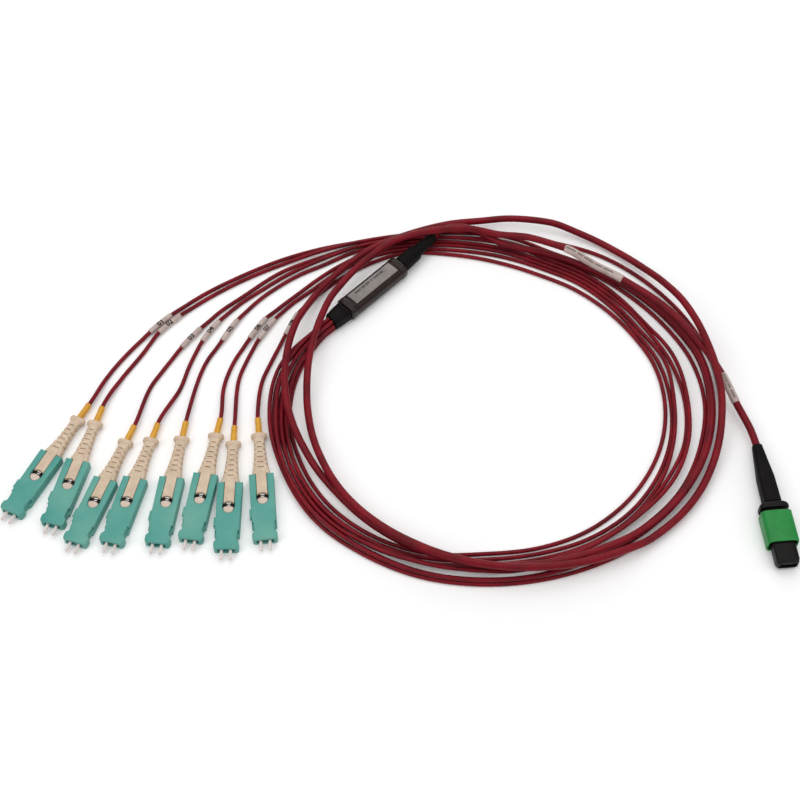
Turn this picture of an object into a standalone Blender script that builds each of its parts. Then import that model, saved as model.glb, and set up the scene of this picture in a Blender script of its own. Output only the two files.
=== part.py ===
# Fibre breakout cable: a trunk with a multi-fibre plug at one end, a fan-out housing at the other,
# and eight thin legs from the fan-out to eight duplex push-pull plugs, lying coiled on a level floor.
import math

import bmesh
import bpy
import numpy as np
from mathutils import Matrix, Vector

MM = 0.001

# Cords
LEG_COUNT = 8
LEG_DIAMETER = 1.7 * MM
TRUNK_DIAMETER = 3.0 * MM
CORD_SPACE = 0.25 * MM         # left between two cords that lie on each other
LEG_HUMP = 16 * MM             # how far before a crossing a leg starts to rise
LEG_RUN_IN = 7 * MM            # straight length before the fan-out
TRUNK_HUMP = 24 * MM
LAY_STEP = 1.5 * MM            # spacing of the points at which resting heights are worked out
TRUNK_RUN_OUT = 3 * MM         # straight length at each of its ends
TRUNK_POINTS = 86
SEAT_GAP = 0.3 * MM            # clearance between separate pieces that touch
CUT_RUN_OUT = 1.0 * MM         # how far a cutter goes past the face that it opens
ROUND_SIDES = 16
SMALL_ROUND_SIDES = 12

# Coil, with its middle given from the fan-out's middle
COIL_CENTRE = (51 * MM, -49 * MM)
COIL_STEP = 15                 # degrees between the coil's route points
LEG_COIL_START = 100           # degrees, where the legs join the coil
TRUNK_COIL_START = 85

# Duplex push-pull plug, lying flat
HOUSING_LENGTH = 29.3 * MM
HOUSING_WIDTH = 9.8 * MM
HOUSING_HEIGHT = 4.0 * MM
HOUSING_WAIST = 9.3 * MM       # width ahead of the wings
WAIST_DRAFT = 0.05 * MM        # how much wider each side is behind the wings
WING_SETBACK = 9.9 * MM        # the wings' front end, behind the housing's front face
WING_LENGTH = 3.7 * MM
WING_REACH = 0.7 * MM
NECK_SETBACK = 6.7 * MM        # where the neck starts, behind the front face
NECK_WIDTH = 8.1 * MM
NOSE_LENGTH = 3.1 * MM         # full-width stretch at the front
NOSE_WIDTH = 9.6 * MM
NOSE_CORNER = 0.8 * MM
HOUSING_EDGE = 0.35 * MM
CORE_WIDTH = 6.0 * MM
CORE_HEIGHT = 1.8 * MM
CORE_SETBACK = 0.8 * MM        # core's front face behind the housing's
CORE_REAR = 8.5 * MM           # core's rear end, from the housing's rear edge
BUTTON_DIAMETER = 4.4 * MM
BUTTON_FRONT = 13.2 * MM       # button's front, from the housing's rear edge
FERRULE_DIAMETER = 1.25 * MM
FERRULE_PITCH = 3.5 * MM
FERRULE_REACH = 3.9 * MM       # beyond the housing's front face
PUSH_PULL_TRAVEL = 1.2 * MM

# Its boot
BOOT_LENGTH = 19.5 * MM        # behind the housing, flange included
BOOT_WIDTH = 6.2 * MM
BOOT_NECK_WIDTH = 4.2 * MM
BOOT_HEIGHT = 3.6 * MM
SHOULDER_WIDTH = 7.2 * MM
SHOULDER_LENGTH = 1.4 * MM
FLANGE_WIDTH = 6.5 * MM
FLANGE_HEIGHT = 4.0 * MM
FLANGE_LENGTH = 2.7 * MM
TONGUE_WIDTH = 4.0 * MM
TONGUE_LENGTH = 7.9 * MM
INSERT_SPACE = 1.2 * MM        # left between the boot's flat insert and the core
BOOT_EDGE = 0.5 * MM

# Sleeves on the legs
STRAIN_DIAMETER = 2.5 * MM
STRAIN_LENGTH = 7.5 * MM       # outside the boot
STRAIN_INSERT = 3.0 * MM       # inside the boot
STRAIN_FIT = 0.15 * MM         # between a sleeve and the leg that it is on
MARKER_DIAMETER = 2.44 * MM
MARKER_LENGTH = 12.3 * MM
LABEL_DIAMETER = 3.8 * MM
TOP_LABEL_LENGTH = 28.6 * MM
NEAR_LABEL_LENGTH = 13.4 * MM
LABEL_FIT = 0.2 * MM

# Fan-out housing, with the middle of its underside at the origin
FAN_HEADING = 46.2             # degrees, from the leg end to the trunk end
FAN_LENGTH = 33.6 * MM
FAN_WIDTH = 10.0 * MM
FAN_HEIGHT = 7.8 * MM
FAN_EDGE = 1.8 * MM
PANEL_LENGTH = 24 * MM
PANEL_WIDTH = 5.6 * MM
PANEL_THICKNESS = 0.4 * MM
PANEL_DEPTH = 0.3 * MM
LEG_BOOT_LENGTH = 8.0 * MM
LEG_BOOT_WIDTH = 6.6 * MM
LEG_BOOT_HEIGHT = 6.6 * MM
LEG_BOOT_EDGE = 0.8 * MM
LEG_BOOT_INSET = 0.6 * MM      # its wide end's step down from the fan-out's sides
LEG_ROW_LIFT = 0.6 * MM        # from the floor to the lowest row of legs
TRUNK_BOOT_LENGTH = 20.5 * MM
TRUNK_BOOT_WIDE = 7.4 * MM
TRUNK_BOOT_STEP = 9.5 * MM     # from the fan-out to the step in diameter
TRUNK_BOOT_NARROW = 5.4 * MM
TRUNK_BOOT_END = 4.6 * MM
TRUNK_BOOT_PITCH = 5.0         # degrees it rises, so that two legs pass under it
TRUNK_BOOT_SPACE = 0.45 * MM   # from its tip to the trunk's end

# Multi-fibre plug
PLUG_HEADING = 5.0             # degrees from -Y towards +X
PLUG_BOOT_TIP = (153.4 * MM, -79.6 * MM)
PLUG_BOOT_LENGTH = 26.5 * MM
PLUG_BOOT_END = 4.0 * MM
PLUG_BOOT_BASE = 7.0 * MM
PLUG_BOOT_KINK = 15 * MM       # from the tip to where the boot reaches its full width
COLLAR_LENGTH = 2.8 * MM
COLLAR_WIDTH = 11.4 * MM
COLLAR_HEIGHT = 7.2 * MM
COLLAR_EDGE = 1.2 * MM
SLEEVE_TRAVEL = 1.2 * MM
SLEEVE_LENGTH = 13.6 * MM
SLEEVE_WIDTH = 12.2 * MM
SLEEVE_HEIGHT = 7.8 * MM
SLEEVE_EDGE = 0.7 * MM
FRAME_WIDTH = 9.9 * MM
FRAME_HEIGHT = 6.0 * MM
FRAME_REACH = 8.6 * MM         # beyond the sleeve
FRAME_EDGE = 0.5 * MM
FRAME_MOUTH_WIDTH = 7.2 * MM
FRAME_MOUTH_HEIGHT = 3.4 * MM
FRAME_MOUTH_DEPTH = 7.0 * MM
MT_WIDTH = 6.4 * MM
MT_HEIGHT = 2.5 * MM
MT_SETBACK = 0.6 * MM

# Each duplex plug: its housing's rear edge, and its heading in degrees from -Y towards +X
PLUGS = [
    ((-126.4, -82.9), -25.6), ((-115.5, -86.1), -13.6), ((-103.7, -94.6), -18.0), ((-92.1, -94.2), -13.2),
    ((-77.8, -93.9), -6.6), ((-64.6, -92.3), -7.9), ((-54.8, -96.2), 0.3), ((-42.9, -92.3), 6.0),
]

# Each leg's route from its plug to the coil, in mm. Its marker lies between the third and fourth points.
LEG_TAILS = [
    [(-108.4, -43), (-101, -31), (-94, -22), (-85, -12), (-73, -1.5), (-57, 9), (-40, 18), (-23, 24.3),
     (-6, 28.3), (14, 31.9)],
    [(-103, -45), (-96, -33), (-90, -22), (-81.3, -12.4), (-71, -3.5), (-57, 6.2), (-40, 15.3), (-23, 21.9),
     (-6, 27.1), (14, 30.9)],
    [(-91, -50), (-87, -42), (-80, -30), (-72, -19), (-65, -10.5), (-56, -2.5), (-40, 11), (-23, 19.4),
     (-6, 25.9), (14, 29.9)],
    [(-78.5, -50), (-75.5, -38), (-71, -26), (-65, -16), (-57, -6.5), (-48, 1.2), (-38, 8.9), (-23, 16.9),
     (-6, 24.7), (14, 28.9)],
    [(-71.5, -46), (-68.5, -36), (-63, -26), (-57, -15), (-49, -4.5), (-41, 3), (-32, 9.6), (-22, 15),
     (-6, 23.5), (14, 27.9)],
    [(-60.6, -49), (-57.5, -37), (-51.5, -25), (-45, -14), (-39, -7.5), (-31, 0.3), (-23, 8), (-14, 15.2),
     (-4, 21.2), (14, 25.9)],
    [(-54.8, -46), (-52, -36), (-48, -26), (-41, -14), (-34.5, -6.2), (-26.5, 1), (-18.5, 8.4), (-10, 14.7),
     (-1, 19.7), (14, 23.9)],
    [(-45.2, -47), (-42, -37), (-36.5, -23), (-31.5, -11.5), (-26.5, -4.5), (-21, 1.2), (-14, 7.6), (-6.5, 13),
     (2, 17.8), (14, 21.9)],
]

MARKED = slice(7, 9)           # the marker's two ends among the points of the whole leg

# Each leg's distance from the coil's middle, in mm, at every COIL_STEP degrees clockwise
LEG_TURNS = [
    [84.0, 81.8, 81.9, 84.5, 86.3, 88.6, 91.0, 91.8, 92.4, 92.0, 90.2, 89.2, 89.3, 90.5, 92.5, 94.0, 95.8, 94.8,
     93.4, 89.2],
    [82.5, 79.7, 76.2, 76.1, 77.9, 81.3, 85.2, 86.6, 87.3, 88.0, 87.2, 87.0, 88.1, 89.4, 91.4, 92.9, 94.7, 93.7,
     90.8, 86.7],
    [81.0, 77.6, 74.1, 73.9, 75.3, 78.4, 82.6, 85.2, 85.7, 86.1, 85.2, 84.8, 87.0, 88.4, 90.4, 91.8, 93.6, 93.3,
     91.9, 87.8],
    [79.6, 75.6, 72.1, 71.8, 71.4, 72.1, 75.6, 77.9, 80.6, 81.9, 81.6, 82.6, 84.8, 86.3, 88.3, 90.7, 92.5, 91.5,
     88.6, 84.6],
    [78.2, 73.6, 70.1, 69.8, 69.4, 70.1, 73.5, 77.1, 79.4, 79.8, 80.5, 81.4, 82.7, 84.2, 87.2, 88.6, 90.4, 89.4,
     86.4, 82.5],
    [76.1, 71.5, 68.1, 67.8, 67.4, 68.1, 71.4, 72.4, 74.8, 77.7, 79.5, 80.3, 80.6, 82.1, 86.2, 89.6, 91.5, 91.1,
     89.7, 85.6],
    [73.4, 68.9, 66.1, 65.8, 65.4, 66.1, 69.1, 71.3, 73.7, 75.7, 77.4, 78.1, 78.3, 79.9, 84.1, 87.5, 89.4, 89.0,
     87.5, 83.5],
    [70.5, 65.2, 62.3, 62.1, 62.6, 64.1, 66.9, 68.9, 70.6, 72.0, 73.5, 75.0, 76.0, 77.5, 82.0, 85.4, 87.2, 86.8,
     85.3, 81.4],
]

# Where each leg meets the fan-out: columns across and rows up, in leg pitches
LEG_GRID = [(-1, 1), (-0.5, 2), (0, 1), (0.5, 2), (1, 1), (-1, 0), (0, 0), (1, 0)]
LAYING_ORDER = [7, 6, 5, 4, 2, 0, 3, 1]

# The trunk's distance from the coil's middle, in mm, at every COIL_STEP degrees clockwise
TRUNK_TURNS = [
    72.9, 72.6, 73.7, 76.8, 81.3, 85.4, 87.4, 88.2, 88.0, 87.1, 86.1, 85.3, 84.6, 83.7, 82.6, 81.9, 83.5,
    85.6, 86.6, 87.4, 87.9, 87.4, 85.9, 86.0, 87.3, 89.0, 89.7, 89.1, 88.0, 88.3, 90.2, 92.2, 92.8, 91.8,
    90.1, 88.0, 86.1, 84.5, 82.9, 81.3, 79.4, 77.8, 77.2, 78.2, 80.7, 82.5, 81.1, 78.5, 75.2, 73.4, 73.8,
    76.5, 81.3, 87.2,
]
TRUNK_TAIL = [(141.3, -43.2), (145.3, -53.2), (149.0, -63), (152.0, -72)]
TOP_LABEL = 50.1               # the route point under each label's middle, counted along TRUNK_TURNS
NEAR_LABEL = 55.0
OVER_PASS = (24, 49)           # route points between which the trunk lies over its own last stretch


def heading_vector(degrees):
    """Unit vector in plan for a heading measured from -Y towards +X."""
    a = math.radians(degrees)
    return np.array([math.sin(a), -math.cos(a)])


def coil_point(radius_mm, degrees):
    a = math.radians(degrees)
    return np.array(COIL_CENTRE) + radius_mm * MM * np.array([math.cos(a), math.sin(a)])


def fan_axis():
    a = math.radians(FAN_HEADING)
    return np.array([math.cos(a), math.sin(a)])


def smooth_route(route, steps):
    """Points on a smooth curve through the route, steps[i] of them in each interval."""
    p = np.array(route)
    p = np.vstack([2 * p[0] - p[1], p, 2 * p[-1] - p[-2]])
    out = []
    for i in range(1, len(p) - 2):
        a, b, c, d = p[i - 1:i + 3]
        knots = np.cumsum([0.0] + [np.linalg.norm(v) ** 0.5 for v in (b - a, c - b, d - c)])
        t0, t1, t2, t3 = knots
        for k in range(steps[i - 1]):
            t = t1 + (t2 - t1) * k / steps[i - 1]
            a1 = (t1 - t) / (t1 - t0) * a + (t - t0) / (t1 - t0) * b
            a2 = (t2 - t) / (t2 - t1) * b + (t - t1) / (t2 - t1) * c
            a3 = (t3 - t) / (t3 - t2) * c + (t - t2) / (t3 - t2) * d
            b1 = (t2 - t) / (t2 - t0) * a1 + (t - t0) / (t2 - t0) * a2
            b2 = (t3 - t) / (t3 - t1) * a2 + (t - t1) / (t3 - t1) * a3
            out.append((t2 - t) / (t2 - t1) * b1 + (t - t1) / (t2 - t1) * b2)
    out.append(p[-2])
    return np.array(out)


def along(points):
    """Distance of each point along its path."""
    return np.concatenate([[0.0], np.cumsum(np.linalg.norm(np.diff(points, axis=0), axis=1))])


def resample(points, s_new):
    s = along(points)
    return np.stack([np.interp(s_new, s, points[:, k]) for k in range(points.shape[1])], 1)


def dense(points):
    total = along(points)[-1]
    return resample(points, np.linspace(0, total, int(total / LAY_STEP) + 2))


def needed_heights(plan, radius, laid):
    """The lowest centre height at each plan point that clears the floor and every cord already laid."""
    need = np.full(len(plan), radius)
    for cord, cord_radius in laid:
        reach = radius + cord_radius + CORD_SPACE
        gap = np.linalg.norm(plan[:, None, :] - cord[None, :, :2], axis=2)
        lift = cord[None, :, 2] + np.sqrt(np.clip(reach ** 2 - gap ** 2, 0, None))
        need = np.maximum(need, np.where(gap < reach, lift, 0).max(axis=1))
    return need


def humped(s_fine, need, s_points, radius, hump):
    """Heights at the path's own points: over every need between them, in long low humps."""
    step = np.diff(s_points).max()
    off = np.abs(s_points[:, None] - s_fine[None, :])
    share = np.clip(1 - np.clip((off - step) / hump, 0, 1) ** 2, 0, 1) ** 2
    return radius + ((need - radius)[None, :] * share).max(axis=1)


def lay(plan, radius, hump, laid, start=None, end=None):
    """A 3-D path on the floor and on the cords laid before it. Each end can hold a height, then blend out."""
    fine = dense(plan)
    s_fine, s_points = along(fine), along(plan)
    z = humped(s_fine, needed_heights(fine, radius, laid), s_points, radius, hump)
    for fixed, s in ((start, s_points), (end, s_points[-1] - s_points)):
        if fixed is not None:
            height, hold, run = fixed
            t = np.clip((s - hold) / run, 0, 1)
            z = z + (height - z) * (1 - t * t * (3 - 2 * t))
    return np.column_stack([plan, z])


def leg_exit(leg):
    """The middle of a plug's rear edge, and the direction back from it along its leg."""
    (x, y), heading = PLUGS[leg]
    back = -heading_vector(heading)
    rear = np.array([x, y]) * MM
    return rear, back


def leg_plan(leg):
    rear, back = leg_exit(leg)
    start = rear + back * (BOOT_LENGTH - STRAIN_INSERT)
    sleeve_end = rear + back * (BOOT_LENGTH + STRAIN_LENGTH + LEG_DIAMETER)
    tail = [np.array(p) * MM for p in LEG_TAILS[leg]]
    middle, way = (tail[2] + tail[3]) / 2, (tail[3] - tail[2]) / np.linalg.norm(tail[3] - tail[2])
    reach = way * (MARKER_LENGTH / 2 + SEAT_GAP)
    tail[2:4] = [middle - reach, middle + reach]
    turn = [coil_point(r, LEG_COIL_START - COIL_STEP * i) for i, r in enumerate(LEG_TURNS[leg])]
    axis = fan_axis()
    across = np.array([axis[1], -axis[0]])
    column = LEG_GRID[leg][0] * (LEG_DIAMETER + SEAT_GAP)
    mouth = -axis * (FAN_LENGTH / 2 + SEAT_GAP + LEG_BOOT_LENGTH + SEAT_GAP) + across * column
    run_in = mouth - axis * LEG_RUN_IN
    route = [start, sleeve_end] + tail + turn + [run_in, mouth]
    steps = [1, 2, 2, 2, 1] + [2] * (len(route) - 7) + [1]
    return smooth_route(route, steps)


def trunk_boot_tip():
    """The trunk boot's tip: its distance from the fan-out's middle in plan, and its height."""
    pitch = math.radians(TRUNK_BOOT_PITCH)
    reach = trunk_boot_root() + TRUNK_BOOT_LENGTH * math.cos(pitch)
    return reach, FAN_HEIGHT / 2 + TRUNK_BOOT_LENGTH * math.sin(pitch)


def trunk_boot_root():
    return FAN_LENGTH / 2 + SEAT_GAP + TRUNK_BOOT_WIDE / 2 * math.sin(math.radians(TRUNK_BOOT_PITCH))


def trunk_boot_end():
    """The trunk boot's narrow end as a cord, for the trunk's later stretches to lie on."""
    pitch = math.radians(TRUNK_BOOT_PITCH)
    ends = []
    for reach in (TRUNK_BOOT_STEP, TRUNK_BOOT_LENGTH):
        x, y = fan_axis() * (trunk_boot_root() + reach * math.cos(pitch))
        ends.append((x, y, FAN_HEIGHT / 2 + reach * math.sin(pitch)))
    return dense(np.array(ends)), TRUNK_BOOT_NARROW / 2


def trunk_plan():
    axis = fan_axis()
    exit_point = axis * (trunk_boot_tip()[0] + TRUNK_BOOT_SPACE)
    turn = [coil_point(r, TRUNK_COIL_START - COIL_STEP * i) for i, r in enumerate(TRUNK_TURNS)]
    forward = heading_vector(PLUG_HEADING)
    plug_end = np.array(PLUG_BOOT_TIP) - forward * SEAT_GAP
    tail = [np.array(p) * MM for p in TRUNK_TAIL]
    route = [exit_point, exit_point + axis * TRUNK_RUN_OUT] + turn + tail + [plug_end]
    fine = smooth_route(route, [8] * (len(route) - 1))
    s = along(fine)
    marks = s[np.arange(2, len(route)) * 8]
    even = np.linspace(3 * TRUNK_RUN_OUT, s[-1] - TRUNK_RUN_OUT, TRUNK_POINTS - 3)
    return resample(fine, np.concatenate([[0, TRUNK_RUN_OUT], even, s[-1:]])), marks


def lay_cords():
    legs, laid = {}, []
    for leg in LAYING_ORDER:
        row = LEG_GRID[leg][1] * (LEG_DIAMETER + SEAT_GAP) + LEG_DIAMETER / 2 + LEG_ROW_LIFT
        hold = STRAIN_INSERT + STRAIN_LENGTH + 2 * LEG_DIAMETER
        legs[leg] = lay(leg_plan(leg), LEG_DIAMETER / 2, LEG_HUMP, laid, (HOUSING_HEIGHT / 2, hold, LEG_HUMP),
                        (row, LEG_RUN_IN, LEG_HUMP))
        marked = legs[leg][MARKED, 2]
        legs[leg][MARKED, 2] = np.maximum(marked, MARKER_DIAMETER / 2 + STRAIN_FIT)
        laid.append((dense(legs[leg]), LEG_DIAMETER / 2))
    trunk, marks = lay_trunk(laid)
    return legs, trunk, marks


def lay_trunk(laid):
    plan, marks = trunk_plan()
    radius = TRUNK_DIAMETER / 2
    s = along(plan)
    first, last = np.searchsorted(s, [marks[OVER_PASS[0]], marks[OVER_PASS[1]]])
    heights = np.zeros(len(plan))
    own = list(laid)
    fan_end = (trunk_boot_tip()[1], TRUNK_RUN_OUT, TRUNK_HUMP)
    plug_end = (SLEEVE_HEIGHT / 2, TRUNK_RUN_OUT, TRUNK_HUMP)
    for part, start, end in ((slice(0, first + 1), fan_end, None), (slice(last, len(plan)), None, plug_end),
                             (slice(first, last + 1), None, None)):
        piece = lay(plan[part], radius, TRUNK_HUMP, own, start, end)
        heights[part] = np.maximum(heights[part], piece[:, 2])
        own += [(dense(piece), radius), trunk_boot_end()]
    return np.column_stack([plan, heights]), marks


def new_collection(name):
    collection = bpy.data.collections.new(name)
    bpy.context.scene.collection.children.link(collection)
    return collection


def put_in(obj, collection):
    for other in list(obj.users_collection):
        other.objects.unlink(obj)
    collection.objects.link(obj)
    return obj


def material(name, colour, roughness, metallic=0.0):
    mat = bpy.data.materials.new(name)
    mat.use_nodes = True
    shader = mat.node_tree.nodes["Principled BSDF"]
    shader.inputs["Base Color"].default_value = (*colour, 1.0)
    shader.inputs["Roughness"].default_value = roughness
    shader.inputs["Metallic"].default_value = metallic
    return mat


def mesh_object(name, mesh, collection, mat=None):
    obj = bpy.data.objects.new(name, mesh)
    collection.objects.link(obj)
    if mat is not None and not mesh.materials:
        mesh.materials.append(mat)
    return obj


def box(name, low, high, collection):
    bpy.ops.mesh.primitive_cube_add(size=1)
    obj = bpy.context.active_object
    obj.name = name
    low, high = Vector(low), Vector(high)
    obj.data.transform(Matrix.Translation((low + high) / 2) @ Matrix.Diagonal((*(high - low), 1)))
    return put_in(obj, collection)


def cylinder_x(name, diameter, start, end, sides, centre_y, centre_z, collection):
    """A cylinder along X from start to end."""
    bpy.ops.mesh.primitive_cylinder_add(vertices=sides, radius=diameter / 2, depth=end - start)
    obj = bpy.context.active_object
    obj.name = name
    obj.data.transform(Matrix.Translation(((start + end) / 2, centre_y, centre_z))
                       @ Matrix.Rotation(math.pi / 2, 4, "Y"))
    return put_in(obj, collection)


def cylinder_z(name, diameter, low, high, sides, centre_x, collection):
    bpy.ops.mesh.primitive_cylinder_add(vertices=sides, radius=diameter / 2, depth=high - low)
    obj = bpy.context.active_object
    obj.name = name
    obj.data.transform(Matrix.Translation((centre_x, 0, (low + high) / 2)))
    return put_in(obj, collection)


def evaluated_mesh(obj):
    graph = bpy.context.evaluated_depsgraph_get()
    mesh = bpy.data.meshes.new_from_object(obj.evaluated_get(graph))
    bm = bmesh.new()
    bm.from_mesh(mesh)
    bmesh.ops.remove_doubles(bm, verts=bm.verts, dist=1e-7)
    bm.to_mesh(mesh)
    bm.free()
    return mesh


def bevel(obj, width, segments=2):
    mod = obj.modifiers.new("Edge", "BEVEL")
    mod.width = width
    mod.segments = segments
    mod.limit_method = "ANGLE"
    return obj


def combine(obj, other, operation):
    """Joins or cuts obj with other, and keeps other as a hidden cutter."""
    mod = obj.modifiers.new(operation.title(), "BOOLEAN")
    mod.operation = operation
    mod.solver = "EXACT"
    mod.object = other
    other.hide_render = True
    other.display_type = "WIRE"
    return obj


def bake_down(obj):
    """Replaces an object's mesh and modifiers by the evaluated mesh."""
    mesh = evaluated_mesh(obj)
    obj.modifiers.clear()
    obj.data = mesh
    return obj


def outline_plate(name, half_outline, low, high, collection):
    """A flat plate from a half outline of (x, half width) points, mirrored about the X axis."""
    curve = bpy.data.curves.new(name, "CURVE")
    curve.dimensions = "2D"
    curve.fill_mode = "BOTH"
    curve.extrude = (high - low) / 2
    points = half_outline + [(x, -y) for x, y in reversed(half_outline)]
    spline = curve.splines.new("POLY")
    spline.points.add(len(points) - 1)
    for point, (x, y) in zip(spline.points, points):
        point.co = (x, y, 0, 1)
    spline.use_cyclic_u = True
    guide = bpy.data.objects.new(name, curve)
    collection.objects.link(guide)
    guide.location.z = (low + high) / 2
    bpy.context.view_layer.update()
    mesh = evaluated_mesh(guide)
    mesh.transform(guide.matrix_world)
    bpy.data.objects.remove(guide)
    return mesh_object(name, mesh, collection)


def tube(name, points, diameter, collection, mat, resolution=2):
    curve = bpy.data.curves.new(name, "CURVE")
    curve.dimensions = "3D"
    curve.bevel_depth = diameter / 2
    curve.bevel_resolution = resolution
    curve.use_fill_caps = True
    spline = curve.splines.new("POLY")
    spline.points.add(len(points) - 1)
    for point, co in zip(spline.points, points):
        point.co = (*co, 1)
    obj = bpy.data.objects.new(name, curve)
    collection.objects.link(obj)
    if mat is not None:
        curve.materials.append(mat)
    return obj


def sleeve_tube(name, points, outer, inner, collection, cutters, mat, resolution=2):
    """A hollow sleeve along a path: an outer tube cut by a longer inner one."""
    points = [Vector(p) for p in points]
    run_out = inner / 2
    first = points[0] + (points[0] - points[1]).normalized() * run_out
    last = points[-1] + (points[-1] - points[-2]).normalized() * run_out
    solids = []
    for label, path, diameter in (("outer", points, outer), ("bore", [first] + points[1:-1] + [last], inner)):
        guide = tube(f"{name}_{label}", path, diameter, cutters, None, resolution)
        mesh = evaluated_mesh(guide)
        bpy.data.objects.remove(guide)
        solids.append(mesh_object(f"{name}_{label}", mesh, cutters))
    outer_solid, bore = solids
    combine(outer_solid, bore, "DIFFERENCE")
    mesh = evaluated_mesh(outer_solid)
    for solid in solids:
        bpy.data.objects.remove(solid)
    return mesh_object(name, mesh, collection, mat)


def turned(name, profile, steps, collection, mat):
    """A solid turned about X from (x, radius) points that run from one end of the axis to the other."""
    bm = bmesh.new()
    verts = [bm.verts.new((x, 0, r)) for x, r in reversed(profile)]
    for a, b in zip(verts, verts[1:]):
        bm.edges.new((a, b))
    mesh = bpy.data.meshes.new(name)
    bm.to_mesh(mesh)
    bm.free()
    obj = mesh_object(name, mesh, collection, mat)
    mod = obj.modifiers.new("Turn", "SCREW")
    mod.axis = "X"
    mod.steps = steps
    mod.render_steps = steps
    mod.use_merge_vertices = True
    mod.merge_threshold = 0.00001
    return obj


def housing_solid(cutters):
    half = HOUSING_WIDTH / 2
    waist = HOUSING_WAIST / 2
    wing_end = HOUSING_LENGTH - WING_SETBACK
    wing_start = wing_end - WING_LENGTH
    neck, nose = NECK_WIDTH / 2, NOSE_WIDTH / 2
    neck_start, nose_start = HOUSING_LENGTH - NECK_SETBACK, HOUSING_LENGTH - NOSE_LENGTH
    outline = [(0, half), (wing_start, waist + WAIST_DRAFT), (wing_start, waist + WING_REACH),
               (wing_end, waist + WING_REACH), (wing_end, waist), (neck_start, waist), (neck_start, (waist + neck) / 2),
               ((neck_start + nose_start) / 2, neck), (nose_start, nose), (HOUSING_LENGTH - NOSE_CORNER, nose),
               (HOUSING_LENGTH, nose - NOSE_CORNER)]
    housing = outline_plate("housing_form", outline, 0, HOUSING_HEIGHT, cutters)
    bevel(housing, HOUSING_EDGE, 1)
    bake_down(housing)
    middle = HOUSING_HEIGHT / 2
    room = CORE_HEIGHT / 2 + SEAT_GAP
    side = CORE_WIDTH / 2 + SEAT_GAP
    top = HOUSING_HEIGHT + CUT_RUN_OUT
    cavity = box("housing_cavity", (-CUT_RUN_OUT, -side, middle - room),
                 (HOUSING_LENGTH + CUT_RUN_OUT, side, middle + room), cutters)
    combine(housing, cavity, "DIFFERENCE")
    button_x = BUTTON_FRONT - BUTTON_DIAMETER / 2
    slot_side = TONGUE_WIDTH / 2 + SEAT_GAP
    slot = box("housing_slot", (-CUT_RUN_OUT, -slot_side, middle), (button_x, slot_side, top), cutters)
    combine(housing, slot, "DIFFERENCE")
    ring = cylinder_z("housing_button_hole", BUTTON_DIAMETER + 2 * SEAT_GAP, middle, top, ROUND_SIDES, button_x,
                      cutters)
    combine(housing, ring, "DIFFERENCE")
    return evaluated_mesh(housing)


def core_solid(cutters):
    middle = HOUSING_HEIGHT / 2
    front = HOUSING_LENGTH - CORE_SETBACK
    core = box("core_form", (CORE_REAR, -CORE_WIDTH / 2, middle - CORE_HEIGHT / 2),
               (front, CORE_WIDTH / 2, middle + CORE_HEIGHT / 2), cutters)
    button_x = BUTTON_FRONT - BUTTON_DIAMETER / 2
    button = cylinder_z("core_button", BUTTON_DIAMETER, middle, HOUSING_HEIGHT, ROUND_SIDES, button_x, cutters)
    combine(core, button, "UNION")
    for side in (-1, 1):
        ferrule = cylinder_x("core_ferrule", FERRULE_DIAMETER, front - FERRULE_DIAMETER,
                             HOUSING_LENGTH + FERRULE_REACH, SMALL_ROUND_SIDES, side * FERRULE_PITCH / 2,
                             middle, cutters)
        combine(core, ferrule, "UNION")
    return evaluated_mesh(core)


def boot_solid(cutters):
    middle = HOUSING_HEIGHT / 2
    rear = -BOOT_LENGTH
    flange_front = rear + FLANGE_LENGTH
    shoulder_back = -SEAT_GAP - SHOULDER_LENGTH
    outline = [(rear + FLANGE_LENGTH / 2, BOOT_NECK_WIDTH / 2), (flange_front, BOOT_NECK_WIDTH / 2),
               (shoulder_back - SHOULDER_LENGTH, BOOT_WIDTH / 2), (shoulder_back, BOOT_WIDTH / 2),
               (shoulder_back, SHOULDER_WIDTH / 2), (-SEAT_GAP, SHOULDER_WIDTH / 2)]
    boot = outline_plate("boot_form", outline, middle - BOOT_HEIGHT / 2, middle + BOOT_HEIGHT / 2, cutters)
    bevel(boot, BOOT_EDGE, 1)
    bake_down(boot)
    flange = cylinder_x("boot_flange", FLANGE_WIDTH, rear, flange_front, ROUND_SIDES, 0, 0, cutters)
    flattened = Matrix.Diagonal((1, 1, FLANGE_HEIGHT / FLANGE_WIDTH, 1))
    flange.data.transform(Matrix.Translation((0, 0, middle)) @ flattened)
    combine(boot, flange, "UNION")
    insert = box("boot_insert", (shoulder_back, -CORE_WIDTH / 2, middle - CORE_HEIGHT / 2),
                 (CORE_REAR - INSERT_SPACE, CORE_WIDTH / 2, middle + CORE_HEIGHT / 2), cutters)
    combine(boot, insert, "UNION")
    tongue = box("boot_tongue", (shoulder_back, -TONGUE_WIDTH / 2, middle),
                 (TONGUE_LENGTH, TONGUE_WIDTH / 2, HOUSING_HEIGHT), cutters)
    combine(boot, tongue, "UNION")
    bore_depth = STRAIN_INSERT + PUSH_PULL_TRAVEL + SEAT_GAP
    bore = cylinder_x("boot_bore", STRAIN_DIAMETER + 2 * SEAT_GAP, rear - CUT_RUN_OUT, rear + bore_depth,
                      SMALL_ROUND_SIDES, 0, middle, cutters)
    combine(boot, bore, "DIFFERENCE")
    return evaluated_mesh(boot)


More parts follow.
